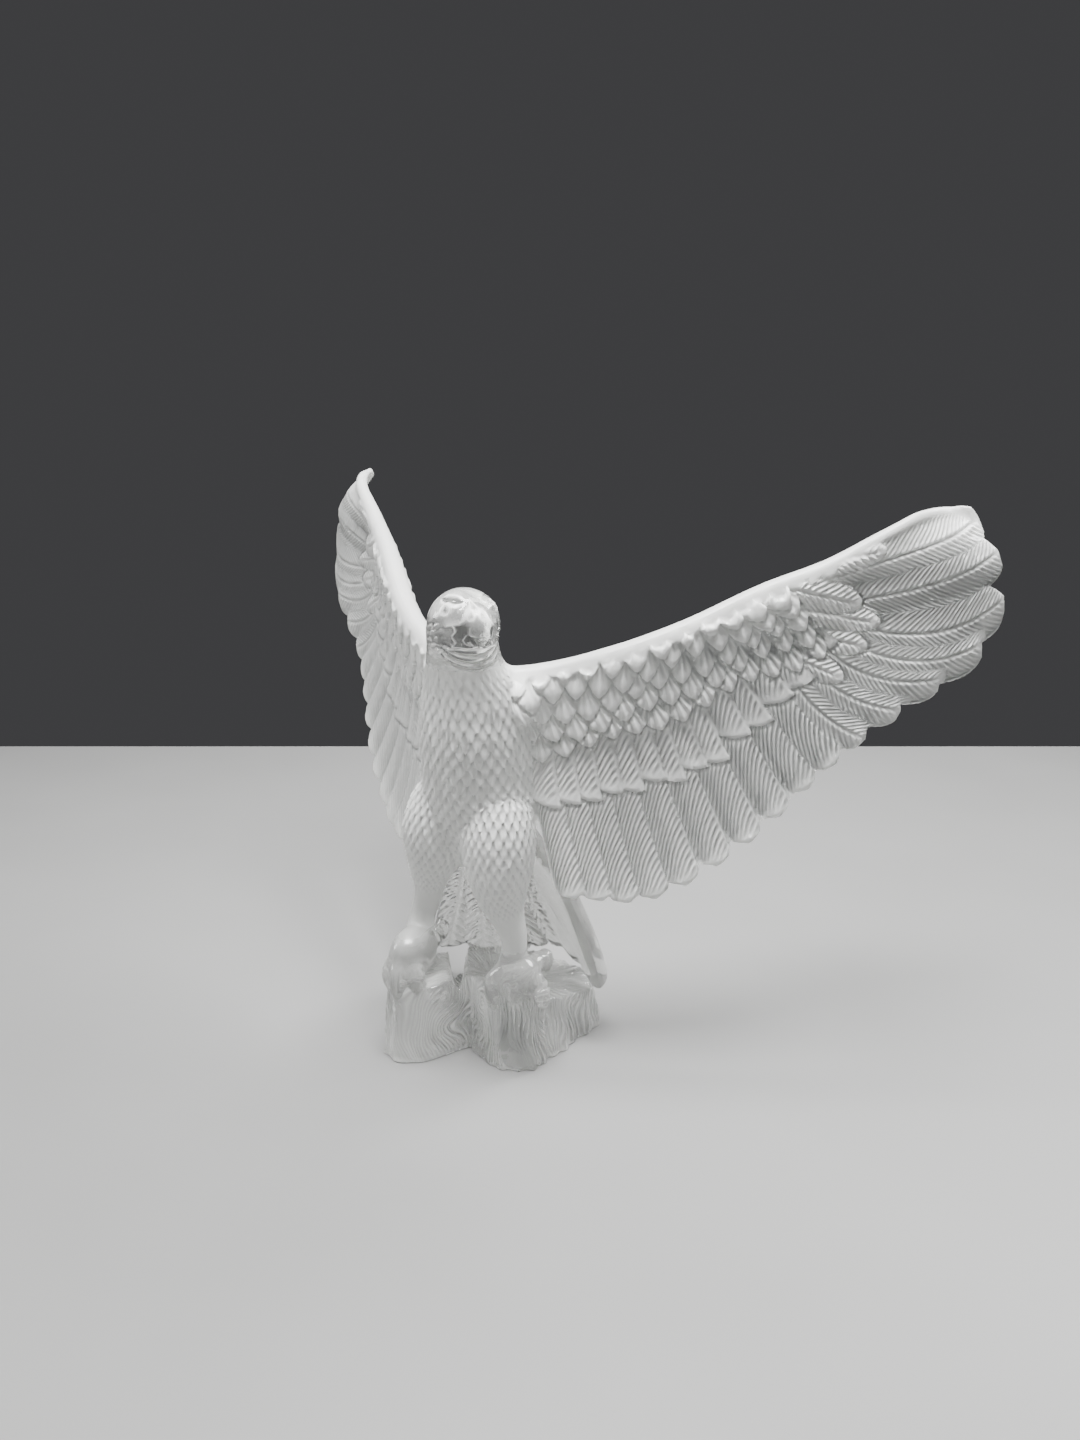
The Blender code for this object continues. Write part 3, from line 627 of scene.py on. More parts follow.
figure = places / U + (*ROCK_CENTRE, 0)
weigh("flesh", flesh(figure))
polish = eagle.modifiers.new("polish", "SMOOTH")
polish.factor = 0.5
polish.iterations = 3
apply(polish)
blend = eagle.modifiers.new("blend", "SMOOTH")
blend.factor = 0.5
blend.iterations = 280
blend.vertex_group = "flesh"
apply(blend)

# %% [markdown]
# ## Carving
#
# The relief is cut into the fused surface by moving each point along its normal. On a wing it is a
# drawing in the wing's plane: feather by feather is laid down, each over the ones before, as a carver
# draws them on the wax. A feather stamp answers two questions for every point that it covers: how high
# the surface stands, and whether the point is in a groove or on a ridge.

# %% Strokes
def waves(phase, sharp=0.8):
    """Rounded ridges with narrower valleys between them, from 0 to 1."""
    return (0.5 + 0.5 * np.cos(2 * math.pi * phase)) ** sharp


def wander(x, y):
    """A slow unevenness, about -1 to 1, that keeps repeated strokes from looking machined."""
    return (np.sin(1.3 * x + 0.7 * y) + np.sin(0.57 * x - 1.1 * y + 2) + np.sin(2.1 * y + 1.7 * x + 4)) / 3


def on_shaft(a, b, base, bend, tip):
    """Distance across and along a feather's shaft for points of the plane, and the shaft's length."""
    base, bend, tip = (np.asarray(p, float) for p in (base, bend, tip))
    length = np.linalg.norm(tip - base)
    heading = (tip - base) / length
    side = np.array([-heading[1], heading[0]])
    sag = np.dot(bend - (base + tip) / 2, side) / 2
    v = (a - base[0]) * heading[0] + (b - base[1]) * heading[1]
    t = np.clip(v / length, 0, 1)
    u = (a - base[0]) * side[0] + (b - base[1]) * side[1] - 4 * sag * t * (1 - t)
    return u, v, length


def herringbone(u, v, half, long, period=2.2):
    """A feather with a grooved shaft in its middle and barbs on both sides that head for its tip."""
    reach = np.abs(u)
    phase = (v - 1.0 * reach - 0.02 * reach**2) / period + 0.22 * wander(u / 4, v / 6) + 0.3 * (u > 0)
    fade = 0.6 * eased((half - reach) / 1.8) * eased((long - v) / 5) * eased(reach / 1.3)
    crown = 1.0 * (1 - np.clip(reach / half, 0, 1) ** 2)
    shaft = (0.35 * bump(reach - 1.1, 0.6) - 0.6 * bump(u, 0.6)) * eased((long - v) / 8)
    return np.stack([crown + shaft, phase, fade, np.zeros(len(v))])


def half_leaf(u, v, half, long, period=3.1):
    """A feather that shows one vane: its shaft is its outer edge, and the barbs curve away inwards."""
    s = 0.86 * half - u
    reach = np.maximum(s, 0)
    phase = (v - 0.75 * reach - 0.06 * reach**2) / period + 0.2 * wander(u / 4, v / 5)
    fade = eased((long - 1.5 - v) / 5) * eased(reach / 1.2) * eased((1.9 * half - reach) / 2)
    slope = 0.6 * (1 - np.clip(reach / (1.9 * half), 0, 1) ** 1.5)
    leaf = 0.5 * np.sin(math.pi * np.clip(reach / (1.9 * half), 0, 1))
    edge = 0.45 * bump(s, 0.7) - 0.4 * eased(-s / 1.5)
    rim = 0.45 * eased((v - long + 4.0) / 2.5)
    return np.stack([slope + leaf + edge + rim, phase, fade, np.zeros(len(v))])


# %% Feathers of the wing's face
COVERT_ROWS = 5
BOLD_COVERTS = (((104, 37), (131, 44)), ((97, 6), (119, -4)), ((101, 14), (127, 8)), ((103, 22), (131, 17)))
SHADE_REACH = 1.5  # how far the groove under a covert's tip reaches, which also carries painted shadow
LEVEL = 1.0  # the height at which the carving leaves the surface as it is
BARB_DEPTH = 0.85


def fan_relief(a, b):
    """The flight feathers: every point belongs to the feather whose shaft is nearest for its width."""
    drawing = np.zeros((4, len(a)))
    nearest = np.full(len(a), 9.0)
    for i, (base, bend, tip, width) in enumerate(fan()):
        middle = (base + tip) / 2
        near = np.flatnonzero((np.abs(a - middle[0]) < 48) & (np.abs(b - middle[1]) < 48))
        u, v, long = on_shaft(a[near], b[near], base, bend, tip)
        half = width / 2 * (0.62 + 0.38 * np.clip(v / long / 0.45, 0, 1))
        away = np.abs(u) / half + 0.5 * np.maximum(v - long, 0)
        if i < FIRST_PRIMARY:
            cut = half_leaf(u, v, half, long, 2.9)
            # The fourth row is shade: bands of it near the tips of the secondaries, cut later as grooves and
            # painted as shadow.
            cut[3] = 0.7 * bump(v - long + 6.5, 3) * waves(v / 4.1 + 0.37 * i + u / 5, 3.0)
        else:
            cut = herringbone(u, v, half, long + 1)
        won = away < nearest[near]
        nearest[near[won]] = away[won]
        drawing[:, near[won]] = cut[:, won]
    return drawing


def lay(drawing, a, b, base, tip, width, draw):
    """Lays one covert over what is there. draw gives its outline and its strokes from (u, v, half, long)."""
    base, tip = np.asarray(base, float), np.asarray(tip, float)
    reach = np.linalg.norm(tip - base) / 2 + width
    middle = (base + tip) / 2
    near = np.flatnonzero((np.abs(a - middle[0]) < reach) & (np.abs(b - middle[1]) < reach))
    u, v, long = on_shaft(a[near], b[near], base, middle, tip)
    inside, cut = draw(u, v, width / 2, long)
    ahead, _ = draw(u, v - SHADE_REACH, width / 2, long)
    # The fourth row is shade, just beyond the covert's tip: cut later as a groove and painted as shadow.
    drawing[3, near] = np.maximum(drawing[3, near], ahead * eased((v - 0.5 * long) / 4))
    drawing[:, near[inside]] = cut[:, inside]


def from_tip(tip, length, lean):
    """The root of a covert with this tip, which leans outwards."""
    return np.asarray(tip) - length * np.array([math.sin(lean), -math.cos(lean)])


def greater(u, v, half, long):
    s = 0.86 * half - u
    inside = (v > 0) & (s > -0.14 * half) & (s < 2 * half) & (v < long - 0.05 * np.maximum(s, 0) ** 2)
    cut = half_leaf(u, v, half, long - 0.05 * np.maximum(s, 0) ** 2)
    cut[0] = LEVEL + 0.8 * (cut[0] - LEVEL + 0.15 + 0.3 * np.clip(v / long, 0, 1))
    return inside, cut


def bold(u, v, half, long):
    inside = (v > 0) & (np.abs(u) < half * np.sqrt(np.clip(1 - (v / long) ** 3, 0, 1)))
    cut = herringbone(u, v, half, long, 2.6)
    cut[0] += 0.7
    cut[2] *= 1.5
    return inside, cut


def shell(lift, ribs):
    def draw(u, v, half, long):
        t = np.clip(v / long, 0, 1)
        reach = half * (1 - np.clip((t - 0.25) / 0.75, 0, 1) ** 1.9) ** 0.75
        inside = (v > 0) & (v < long) & (np.abs(u) < reach)
        rise = lift - 0.9 + 2.1 * eased(t / 0.85) + 0.7 * (1 - np.abs(u / half) ** 1.5)
        phase = np.arctan2(u, v + 3) * 3.6
        fade = ribs * eased(t / 0.3) * eased((1 - t) / 0.15) * eased((reach - np.abs(u)) / 0.8)
        return inside, np.stack([rise, phase, fade, np.zeros(len(v))])

    return draw


def soft(u, v, half, long):
    """A low rounded lump without strokes."""
    t = np.clip(v / long, 0, 1)
    inside = (v > 0) & (v < long) & (np.abs(u) < half * np.sqrt(1 - t**3))
    rise = LEVEL + 0.6 * eased(t) * (1 - (u / half) ** 2)
    return inside, np.stack([rise, *np.zeros((3, len(v)))])


def wing_drawing(a, b):
    """Height, stroke phase, stroke strength and shade of a wing's face at the places (a, b) of its plane. The
    shade, under the tips of coverts and secondaries, is cut as a groove and painted as shadow.
    """
    drawing = fan_relief(a, b)
    for base, tip in BOLD_COVERTS:
        lay(drawing, a, b, base, tip, 12, bold)
    reach = np.linspace(7, 112, 14)
    drop = through((7, 44, 68, 84, 100, 112), (57.5, 59.0, 61.0, 55.0, 47.0, 36.0), reach)
    lean = np.radians(through((7, 44, 84, 112), (6, 16, 34, 56), reach))
    for out, down, turn in reversed(list(zip(reach, drop, lean))):
        tip = (out + 1.5, lead(out) - down + 1.3 * math.sin(2.7 * out))
        lay(drawing, a, b, from_tip(tip, 30, turn), tip, 11, greater)
    lay(drawing, a, b, (97, 30), (124, 24), 13.5, bold)
    for row in range(COVERT_ROWS):
        for i, out in enumerate(np.arange(-2 + 4.4 * (row % 2), 113 - 3 * row, 8.8)):
            odd = math.sin(12.9 * i + 7.3 * row)
            turn = math.radians(through((0, 60, 110), (4, 16, 42), out) + 12 * odd)
            tip = (out + 1.2 * odd, lead(out) - 37.0 + 6.6 * row + 1.7 * math.sin(5.1 * i + row))
            style = shell(0.8 + 0.1 * row + 0.6 * odd, 1.3 - 0.28 * row)
            lay(drawing, a, b, from_tip(tip, 11.5, turn), tip, 10.4 + 1.4 * odd, style)
    for i, out in enumerate(np.arange(0, 112, 6.2)):
        tip = (out, lead(out) - 6.8 + 0.7 * math.sin(4.1 * i))
        lay(drawing, a, b, from_tip(tip, 7.0, math.radians(18)), tip, 7.4, soft)
    below = lead(a) - b
    drawing[3] *= eased((below - 9) / 4) * (1 - 0.45 * eased((below - 42) / 6))
    band = eased((lead(a) - b - 3.0) / 2.5)
    drawing[0] = LEVEL + (drawing[0] - LEVEL) * band
    drawing[2:] *= band
    return drawing


# %% Patterns of the body
def scale_relief(x, y):
    """Pointed scales two rows long, upper rows on top. Gives their height and how near the rim a point is."""
    height, rim = np.zeros(len(x)), np.zeros(len(x))
    for row, rows_down in ((np.floor(y), 0), (np.floor(y) - 1, 1)):
        dy = y - row
        dx = (x - 0.5 * (row % 2)) % 1 - 0.5
        reach = 0.5 * np.maximum(1 - (dy / 2) ** 1.7, 0) ** 0.75
        inside = np.abs(dx) < reach
        edge = (reach - np.abs(dx)) / 0.5
        body = (0.15 + 0.4 * dy) * (1 - 0.3 * (dx / np.maximum(reach, 0.05)) ** 2)
        height = np.where(inside, body, height)
        rim = np.where(inside, bump(edge, 0.16) * np.clip(dy, 0, 1), rim * (1 - rows_down * inside))
    return height, rim


def head_frame():
    """The head's own forward, left and up."""
    origin = head_place(0, 0, 0)
    return np.stack([head_place(*axis) - origin for axis in ((1, 0, 0), (0, 1, 0), (0, 0, 1))])


FACE_TURN = 7  # degrees that the face's facets sit right of the beak's ridge
EYE_TURN, EYE_UP = 58, 7.6  # degrees from straight ahead, figure units above the head's centre
BROW_TURN, BROW_UP = 55, 10.4
BROW_HALF = 31  # degrees from the middle of a brow to its end
CERE_TOP, CERE_FOOT = 11.2, 3.4
GAPE_UP = -2.2
CHIN_UP = -5.8


def head_drawing(points):
    """Raised lines of the head, which are frosted and carry painted highlight, and its cut facets, which are
    clearer and carry painted shade, both from 0 to 1.
    """
    forward, left, up = head_frame() @ (points - HEAD_CENTRE).T
    angle = np.degrees(np.arctan2(left, forward))
    aside, turn = np.abs(angle), np.abs(angle + FACE_TURN)
    from_eye = np.hypot((aside - EYE_TURN) / 5.2, up - EYE_UP)
    lens = 0.8 * np.sqrt(np.clip(1 - ((aside - BROW_TURN) / BROW_HALF) ** 2, 0, 1))
    from_brow = np.abs(up - BROW_UP)
    on_brow = (np.abs(aside - BROW_TURN) < BROW_HALF) * np.where(angle > 0, 0.3, 1.0)
    tent_edge = 20 * (CERE_TOP - up) / (CERE_TOP - CERE_FOOT)
    in_tent = eased((CERE_TOP + 0.6 - up) / 0.8) * eased(up - CERE_FOOT + 1)
    tent = bump((turn - tent_edge) / 4.6, 0.5) * in_tent
    nostril = np.hypot((turn - 8) / 4.4, (up - 7.0) / 1.3)
    cheek = bump(up - 3.6 + 0.04 * (turn - 18), 0.45) * eased((turn - 14) / 5) * eased((48 - turn) / 5)
    beak = eased((3.6 - up) / 0.6) * eased((up - CHIN_UP) / 0.6) * eased((36 - turn) / 3)
    from_gape = np.hypot(turn / 15, (up - GAPE_UP) / 2.1)
    facets = np.where((turn < 9) & (up > 0.3), 0.1, 0.6)
    facets = np.maximum(facets, eased((1 - from_gape) / 0.15))
    inner = 0.7 * bump((turn - 9) / 4.4, 0.3) * (up > 0.3)
    outer = bump((turn - 31 + 2.4 * np.sin(1.5 * up)) / 4.4, 0.45)
    walls = np.max([inner, outer, 0.8 * bump(from_gape - 1.15, 0.1)], axis=0)
    rows = (CHIN_UP - 0.4 - up + 0.0016 * turn**2) / 2.7
    folds = eased(rows / 0.2) * eased((3.4 - rows) / 1.5) * eased((60 - turn) / 24)
    strokes = waves(rows + 0.5, 1.2) * folds
    dash_row = (up + 0.07 * turn) / 2.4
    dashes = waves(dash_row, 2.0) * waves(turn / 17 + np.floor(dash_row) / 2, 1.5)
    side = eased((turn - 40) / 12) * eased((5 - up) / 3) * eased((up + 14) / 4)
    bright = np.max([
        bump(from_eye - 1.9, 0.5),
        on_brow * bump(from_brow - lens - 0.5, 0.4),
        tent,
        bump(nostril - 1.2, 0.45),
        cheek,
        walls * beak,
        bump(up - CHIN_UP, 0.4) * eased((44 - turn) / 6),
        waves(rows, 4.0) * folds,
    ], axis=0)
    dark = np.max([
        bump(from_eye, 1.0),
        on_brow * eased((lens - from_brow) / 0.4 + 0.5),
        beak * facets,
        strokes,
        0.9 * side * dashes,
    ], axis=0)
    return np.stack([bright, dark * (1 - bright)])


# %% Frost
def frost_of(points, kinds, bright, dark):
    """1 where the crystal is frosted, a half where it is polished but milky, and 0 where it is clear."""
    x, y, z = points.T
    away = np.linalg.norm(points - HEAD_CENTRE - (0, 0, 1), axis=1)
    head = eased((24 - away) / 5) * eased((z - 160) / 6)
    feet = eased((54 - z) / 8)
    tail = eased((y - 11) / 4) * eased((98 - z) / 8) * (kinds == TAIL)
    frost = 1 - (1 - (0.5 + 0.45 * bright - 0.3 * dark)) * head
    frost = np.minimum(frost, 1 - 0.52 * feet)
    frost = np.minimum(frost, 1 - (0.68 - 0.2 * eased((x - 22) / 12)) * tail)
    return np.maximum(frost, 0.8 * eased((2.2 - z) / 1.2))


# %% Carve
RIGHT_WING_DEPTH = 0.6  # how deep the right wing is carved, as a share of the left one's depth
BREAST_COLUMNS = 30  # scales round the breast
THIGH_COLUMNS = 23
THIGH_ROW = 2.5
SCALE_RISE = 1.5
TAIL_BARB = 4.4
ROCK_LINE = 1.7  # from one fine line of the rock to the next
TOE_WRINKLE = 2.6

# The line that the painted glow along the wing's lower rim follows, out along the wing and up
RIM_GLOW_OUT = (-16, 13, 45.5, 69.6, 97.6, 130.6, 158, 172)
RIM_GLOW_UP = (-88, -89, -88, -76.5, -55.5, -26.7, -3.5, 20)
ROCK_KNOTS = ((-142, 17), (-121, 29), (-100, 12), (-72, 24), (-49, 10), (-21, 20), (58, 16), (120, 14))


def point_normals(mesh):
    flat = np.empty(3 * len(mesh.vertices), np.float32)
    mesh.vertex_normals.foreach_get("vector", flat)
    return flat.reshape(-1, 3).astype(float)


def cut_scales(on, height, rim, fading):
    """Raises the scales at the points, and paints light and shade on them: lighter crests and rims as painted
    highlight, darker low parts as painted shade.
    """
    relief[on] = (SCALE_RISE * (height - 0.5) + 0.3 * rim) * fading
    # Painted highlight on the crests and rims, painted shade where each scale sinks under the one above.
    tone[on] = 0.55 + (1.1 * (height - 0.5) + 0.5 * rim) * fading


relief = np.zeros(len(places))
# tone: how light each point is painted. On the wings, breast, thighs and head it carries painted light and
# shade; on the rock it is lighter on one smooth lobe and unevenly toned elsewhere.
tone = np.full(len(places), 0.5)
normals = point_normals(eagle.data)
z = figure[:, 2]

phase = np.zeros(len(places))
stroke = np.zeros(len(places))
depth = np.full(len(places), BARB_DEPTH)

wing = np.flatnonzero(kind == WING)
hand = np.stack([np.where(figure[wing, 0] < 0, -1.0, 1.0), np.ones(len(wing)), np.ones(len(wing))], axis=1)
from_root = figure[wing] * hand - WING_ROOT
facing = (normals[wing] * hand) @ WING_FACE
cut, phase[wing], fade, shade = wing_drawing(from_root @ WING_AXIS, from_root @ WING_UP)
flat_share = eased((np.abs(facing) - 0.35) / 0.35) * np.where(facing > 0, 1.0, 0.75)
flat_share *= np.where(figure[wing, 0] < 0, RIGHT_WING_DEPTH, 1.0)
stroke[wing] = fade * flat_share
relief[wing] = (cut - LEVEL - 0.9 * shade) * flat_share
out, up = from_root @ WING_AXIS, from_root @ WING_UP
# Painted light: the middle of the wing is painted darker, as where the dark room shows through thin frosted
# glass, while the lower rim, the body's side and the leading band keep a lighter painted glow.
rim_glow = 1 - eased((up - through(RIM_GLOW_OUT, RIM_GLOW_UP, out)) / 14)
middle_shade = eased((out - 8) / 30) * (1 - rim_glow) * eased((lead(out) - up - 5) / 10)
# Painted light and shade: raised carving is painted lighter, low carving darker, and the ground beyond each
# covert's tip darker still as a painted shadow.
painted_relief_light = 0.45 * np.clip((cut - LEVEL) / 1.1, -1, 1) - 0.6 * shade
tone[wing] = 0.62 - 0.25 * middle_shade + painted_relief_light * flat_share

on = np.flatnonzero(kind == BREAST)
rows = through((74, 90, 110, 130, 150, 170, 190), (0, 7.2, 15.0, 21.2, 26.6, 32.0, 37.4), down[on])
columns = across[on] / (2 * math.pi) * BREAST_COLUMNS + 0.16 * wander(rows / 2, across[on] * 4)
height, rim = scale_relief(columns, -rows + 0.2 * wander(across[on] * 5, rows / 2))
cut_scales(on, height, rim, through((74, 112, 130, 145, 156, 168), (1.0, 1.0, 1.0, 0.8, 0.5, 0.0), down[on]))

on = np.flatnonzero(kind == THIGH)
rows = down[on] / THIGH_ROW + 0.2 * wander(across[on] * 4, down[on] / 6)
height, rim = scale_relief(across[on] / (2 * math.pi) * THIGH_COLUMNS, rows)
cut_scales(on, height, rim, eased((48 - down[on]) / 10))

bright, dark = head_drawing(figure) * ((kind == HEAD) | ((kind == BREAST) & (z > 156)))
relief += 0.3 * bright - 0.35 * dark
# The head's raised lines are painted lighter as painted highlights, and its cut facets darker as painted
# shade.
tone += 0.4 * bright - 0.5 * dark

on = np.flatnonzero(kind == TAIL)
cut, phase[on], stroke[on], _ = herringbone(across[on], down[on], half_width[on], length[on], TAIL_BARB)
inner = eased((18 - figure[on, 0]) / 10) * np.where(normals[on, 1] < 0, 1.0, 0.2)
relief[on] = 1.2 * (cut - 1.0) * inner
stroke[on] *= 1.5 * inner

on = np.flatnonzero(kind == ROCK)
girth, height = across[on], z[on]
around = np.degrees(np.arctan2(figure[on, 1] - ROCK_CENTRE[1], figure[on, 0] - ROCK_CENTRE[0]))
grain = girth + 1.6 * np.sin(height / 7 + girth / 11) + 0.9 * np.sin(height / 3.1 + girth / 5.3 + 1)
for knot_turn, knot_height in ROCK_KNOTS:
    grain += 7 * bump(around - knot_turn, 6) * bump(height - knot_height, 7)
grain += 0.8 * np.sin(girth / 2.3 + height / 5)
smooth_lobe = eased((-96 - around) / 12)
phase[on] = grain / ROCK_LINE
lively = np.maximum(0.8 + 0.8 * wander(girth / 6, height / 9), 0) * (1 - 0.5 * smooth_lobe)
stroke[on] = lively * eased(height / 3)
relief[on] = 0.6 * (waves(grain / 9.7 + 0.3, 1.5) - 0.4) * eased(height / 3)
tone[on] = 0.55 + 0.25 * smooth_lobe + 0.4 * wander(girth / 7 + 2, height / 12)
depth[on] = 0.4

on = np.flatnonzero(kind == TOE)
phase[on] = down[on] / TOE_WRINKLE
stroke[on] = 0.5 * eased((np.cos(across[on] + math.pi / 2) + 0.2) / 0.6)
relief += depth * (waves(phase) - 0.5) * np.minimum(stroke, 1)

carved = places_of(eagle.data) + normals * relief[:, None] * U
eagle.data.vertices.foreach_set("co", carved.astype(np.float32).ravel())
frost = frost_of(figure, kind, bright, dark)
for note, value in (("frost", frost), ("tone", tone), ("phase", phase), ("stroke", stroke)):
    layer = eagle.data.attributes.new(note, "FLOAT", "POINT")
    layer.data.foreach_set("value", value.astype(np.float32))
eagle.data.update()
settle = eagle.modifiers.new("settle", "SMOOTH")
settle.factor = 0.3
settle.iterations = 1
apply(settle)

# %% Thin out and cut flat
def favoured(points, hand_normals):
    """Weight of the surfaces that carry the finest carving, which keep the smallest faces."""
    x, y, z = points.T
    front = eased((0.25 - hand_normals[:, 1]) / 0.4)
    head = eased((24 - np.linalg.norm(points - HEAD_CENTRE, axis=1)) / 5)
    return np.maximum(0.9 * head, np.maximum(0.85 * front, 0.3))


weigh("carving", favoured(figure, normals))
thin = eagle.modifiers.new("thin_out", "DECIMATE")
thin.vertex_group = "carving"
thin.invert_vertex_group = True
thin.vertex_group_factor = CARVING_FAVOUR
thin.ratio = FACES / (2 * len(eagle.data.polygons))
thin.use_collapse_triangulate = True
apply(thin)
eagle.vertex_groups.clear()


def cut_at_ground():
    """Cuts the casting off flat where it stands, and closes the cut."""
    bpy.ops.object.mode_set(mode="EDIT")
    bpy.ops.mesh.select_all(action="SELECT")
    level = {"plane_co": (0, 0, 0), "plane_no": (0, 0, 1)}
    bpy.ops.mesh.bisect(**level, use_fill=True, clear_inner=True, threshold=1e-6)
    bpy.ops.mesh.select_all(action="SELECT")
    bpy.ops.mesh.quads_convert_to_tris()
    bpy.ops.mesh.normals_make_consistent(inside=False)
    bpy.ops.object.mode_set(mode="OBJECT")


def draw_in(low, high, reach=0.004):
    """Presses the outermost few millimetres in softly, so that the casting stays inside the frame's box."""
    points = places_of(eagle.data)
    for axis in range(3):
        over = np.maximum(points[:, axis] - high[axis] + reach, 0)
        under = np.maximum(low[axis] + reach - points[:, axis], 0) * (axis < 2)
        points[:, axis] += reach * np.tanh(over / reach) - over - reach * np.tanh(under / reach) + under
    eagle.data.vertices.foreach_set("co", points.astype(np.float32).ravel())
    eagle.data.update()


cut_at_ground()
draw_in(cad_low, cad_high)
print(len(eagle.data.polygons), "triangles")

# %% [markdown]
# ## Finish
#
# One glass, two finishes. The satin comes from acid or a fine blast: it scatters light both on its way
# in and out, so the glass looks milky white. The polished parts let you look straight through. A value
# painted on the points, frost, runs from 0 to 1 between the two.

# %% Node helpers
def feed(tree, socket, value):
    """Gives a socket a fixed value, or links another node's output to it."""
    if isinstance(value, bpy.types.NodeSocket):
        tree.links.new(value, socket)
    else:
        socket.default_value = value


def painted(tree, name):
    """The value painted on the points under this name."""
    node = tree.nodes.new("ShaderNodeAttribute")
    node.attribute_name = name
    return node.outputs["Fac"]


def noise(tree, place, scale, detail=2):
    node = tree.nodes.new("ShaderNodeTexNoise")
    for name, value in (("Vector", place), ("Scale", scale), ("Detail", detail)):
        feed(tree, node.inputs[name], value)
    return node.outputs["Fac"]


def worked_out(tree, operation, *values):
    """The result of one sum on the values."""
    node = tree.nodes.new("ShaderNodeMath")
    node.operation = operation
    for socket, value in zip(node.inputs, values):
        feed(tree, socket, value)
    return node.outputs["Value"]


def mapped(tree, value, from_range, to_range=(0, 1)):
    """The value drawn from one range to another, and held at its ends."""
    node = tree.nodes.new("ShaderNodeMapRange")
    names = ("Value", "From Min", "From Max", "To Min", "To Max")
    for name, given in zip(names, (value, *from_range, *to_range)):
        feed(tree, node.inputs[name], given)
    return node.outputs["Result"]


def mixed(tree, share, first, second):
    """The colour that lies this share of the way from the first to the second."""
    node = tree.nodes.new("ShaderNodeMix")
    node.data_type = "RGBA"
    for name, value in (("Factor", share), ("A", first), ("B", second)):
        feed(tree, node.inputs[name], value)
    return node.outputs["Result"]


# %% Crystal
GLASS_IOR = 1.54
WARM_WHITE = (0.97, 0.975, 0.96, 1)
DULL_WHITE = (0.90, 0.905, 0.88, 1)
PAINTED_SHADE_GREY = (0.46, 0.47, 0.46, 1)
STROKE_DEPTH = 0.00022  # metres


def crystal():
    """Crystal glass: see-through, frosted where the points say so, with painted light and shade in its colour
    and in how milky it is.
    """
    material = bpy.data.materials.new("crystal")
    material.use_nodes = True
    tree = material.node_tree
    shader = tree.nodes["Principled BSDF"]
    shader.inputs["IOR"].default_value = GLASS_IOR
    shader.inputs["Metallic"].default_value = 0.0
    place = tree.nodes.new("ShaderNodeTexCoord").outputs["Object"]
    cloud = noise(tree, place, 60, 4)
    frost = painted(tree, "frost")
    satin = mapped(tree, frost, (0.45, 1), (0, 0.4))
    feed(tree, shader.inputs["Roughness"], worked_out(tree, "MULTIPLY_ADD", cloud, 0.05, satin))

    # Painted light and shade: the barb strokes and the tone painted on the points make the glass lighter and
    # milkier on ridges and lit parts, greyer and clearer in grooves and painted shade.
    wave = worked_out(tree, "COSINE", worked_out(tree, "MULTIPLY", painted(tree, "phase"), 2 * math.pi))
    barb = worked_out(tree, "MULTIPLY", wave, painted(tree, "stroke"))
    painted_light_and_tone = worked_out(tree, "MULTIPLY_ADD", barb, 0.3, painted(tree, "tone"))
    solid = mapped(tree, painted_light_and_tone, (0, 1), (0.05, 0.85))
    milk = worked_out(tree, "MULTIPLY", solid, frost)
    feed(tree, shader.inputs["Transmission Weight"], worked_out(tree, "SUBTRACT", 1.0, milk))

    white = mixed(tree, cloud, WARM_WHITE, DULL_WHITE)
    # Where the painted light is low, the colour turns to a painted shade grey.
    lit_share = mapped(tree, painted_light_and_tone, (0.05, 0.6))
    feed(tree, shader.inputs["Base Color"], mixed(tree, lit_share, PAINTED_SHADE_GREY, white))

    grit = worked_out(tree, "MULTIPLY_ADD", noise(tree, place, 1400), 0.12, barb)
    strokes = tree.nodes.new("ShaderNodeBump")
    strokes.inputs["Strength"].default_value = 0.7
    strokes.inputs["Distance"].default_value = STROKE_DEPTH
    feed(tree, strokes.inputs["Height"], grit)
    feed(tree, shader.inputs["Normal"], strokes.outputs["Normal"])
    return material


eagle.data.materials.clear()
eagle.data.materials.append(crystal())
print("crystal has", len(eagle.data.materials[0].node_tree.nodes), "nodes")
bpy.ops.object.select_all(action="DESELECT")
eagle.select_set(True)
bpy.context.view_layer.objects.active = eagle
bpy.ops.object.shade_smooth_by_angle(angle=math.radians(70))
bpy.data.objects.remove(clay)
eagle.name = "crystal_eagle_carved"
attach(eagle, "root")
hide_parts("crystal_eagle")

# %% [markdown]
# ## Setting
#
# A plain pale table under soft studio light, and nothing behind it, so that the satin reads white
# against a dark room as glass is usually shown.

# %% Floor
CAMERA_PLACE = np.array([232.6 * U, -323.7 * U, 266 * U])
CAMERA_HEADING = np.array([-0.5446, 0.8387])
TABLE_BEHIND_CAMERA = 0.6
TABLE_DEPTH = 0.83
TABLE_HALF_WIDTH = 1.6
TABLE_TOP = -0.0004  # just under the rock's flat underside
bpy.ops.object.select_all(action="DESELECT")
bpy.ops.mesh.primitive_plane_add(size=2)
floor = bpy.context.object
floor.name = "floor"
sideways = np.array([CAMERA_HEADING[1], -CAMERA_HEADING[0]])
for vertex in floor.data.vertices:
    reach = TABLE_DEPTH if vertex.co[1] > 0 else -TABLE_BEHIND_CAMERA
    spot = CAMERA_PLACE[:2] + reach * CAMERA_HEADING + vertex.co[0] * TABLE_HALF_WIDTH * sideways
    vertex.co = (spot[0], spot[1], TABLE_TOP)
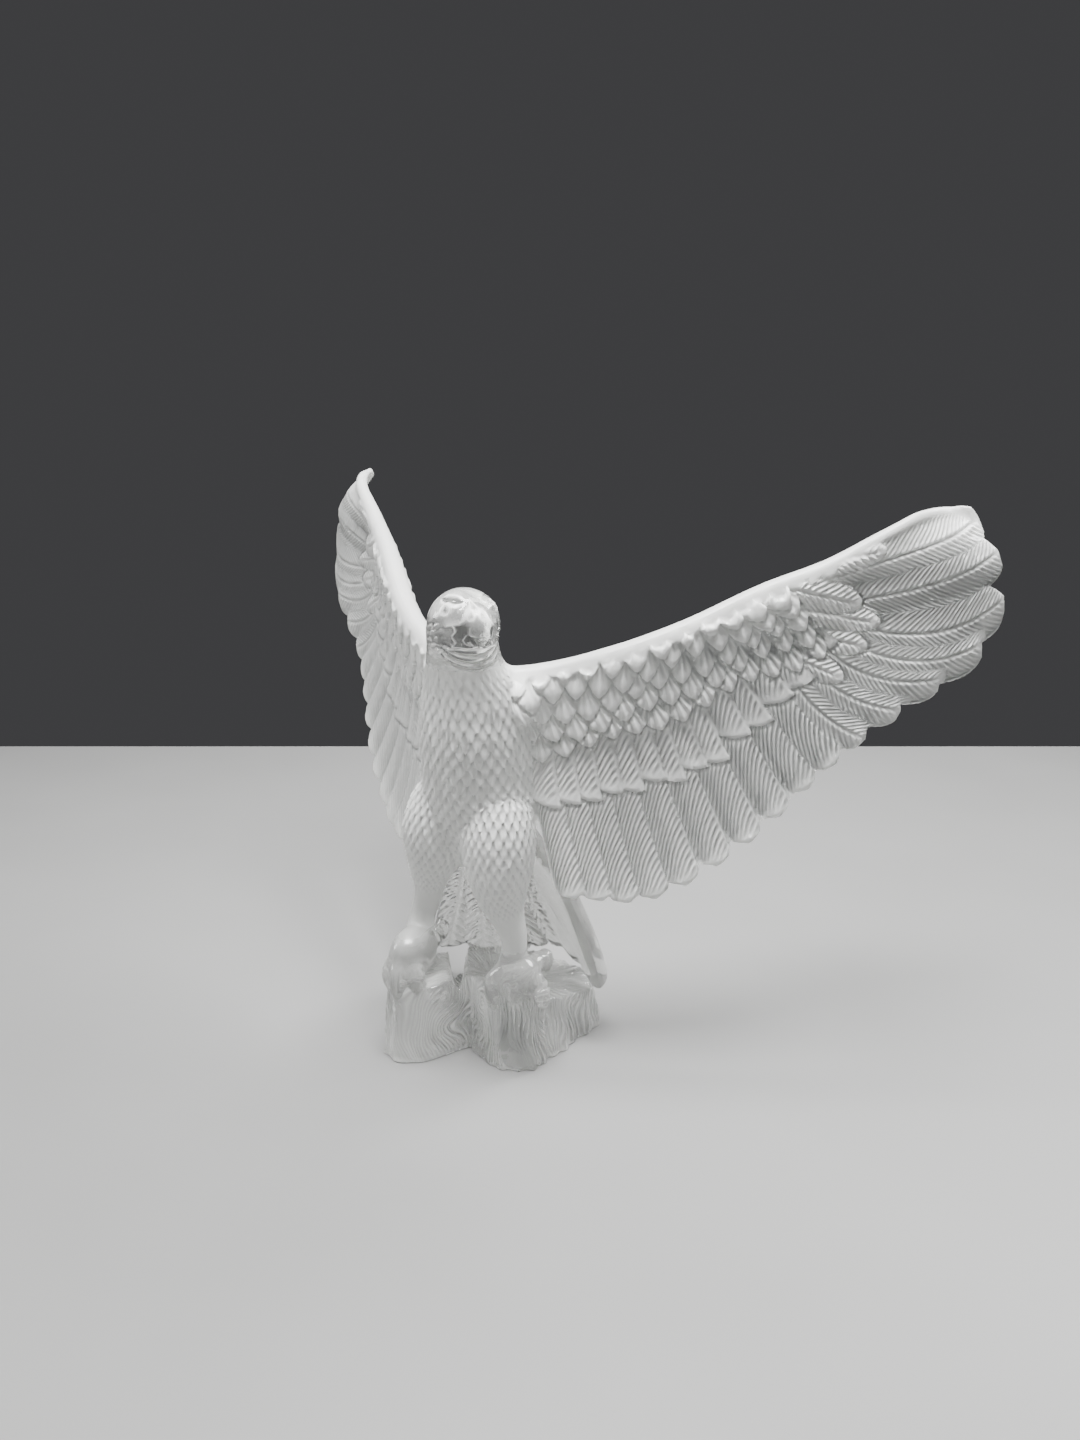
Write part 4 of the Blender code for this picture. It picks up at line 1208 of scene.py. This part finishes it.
paint = bpy.data.materials.new("pale_table")
paint.use_nodes = True
board = paint.node_tree.nodes["Principled BSDF"]
board.inputs["Roughness"].default_value = 0.5
grain = paint.node_tree.nodes.new("ShaderNodeTexNoise")
grain.inputs["Scale"].default_value = 30
tone = paint.node_tree.nodes.new("ShaderNodeMix")
tone.data_type = "RGBA"
tone.inputs["A"].default_value = (0.20, 0.20, 0.198, 1)
tone.inputs["B"].default_value = (0.23, 0.23, 0.228, 1)
paint.node_tree.links.new(grain.outputs["Fac"], tone.inputs["Factor"])
paint.node_tree.links.new(tone.outputs["Result"], board.inputs["Base Color"])
floor.data.materials.append(paint)


# %% Lights
def softbox(name, place, aim, size, power, spread=180):
    """A square lamp that faces the point it is aimed at."""
    lamp = bpy.data.objects.new(name, bpy.data.lights.new(name, "AREA"))
    lamp.data.shape = "SQUARE"
    lamp.data.size = size
    lamp.data.energy = power
    lamp.data.spread = math.radians(spread)
    lamp.location = place
    lamp.rotation_euler = (Vector(aim) - Vector(place)).to_track_quat("-Z", "Y").to_euler()
    bpy.context.scene.collection.objects.link(lamp)


MIDDLE = (0, 0.02, 0.12)
softbox("ceiling", (0.05, -0.05, 1.0), MIDDLE, 0.5, 19, 120)
softbox("left", (-0.85, -0.35, 0.45), MIDDLE, 0.35, 1.5, 100)
softbox("rear", (0.35, 0.75, 0.75), MIDDLE, 0.4, 7, 120)
world = bpy.data.worlds.new("dim_room")
bpy.context.scene.world = world
world.use_nodes = True
world.node_tree.nodes["Background"].inputs["Color"].default_value = (0.055, 0.055, 0.058, 1)

# %% Camera
camera = bpy.data.objects.new("camera", bpy.data.cameras.new("camera"))
camera.data.sensor_width = 36
camera.data.lens = 27.05
camera.location = CAMERA_PLACE
DIP = math.radians(18)
look = Vector((CAMERA_HEADING[0] * math.cos(DIP), CAMERA_HEADING[1] * math.cos(DIP), -math.sin(DIP)))
camera.rotation_euler = look.to_track_quat("-Z", "Y").to_euler()
bpy.context.scene.collection.objects.link(camera)
bpy.context.scene.camera = camera
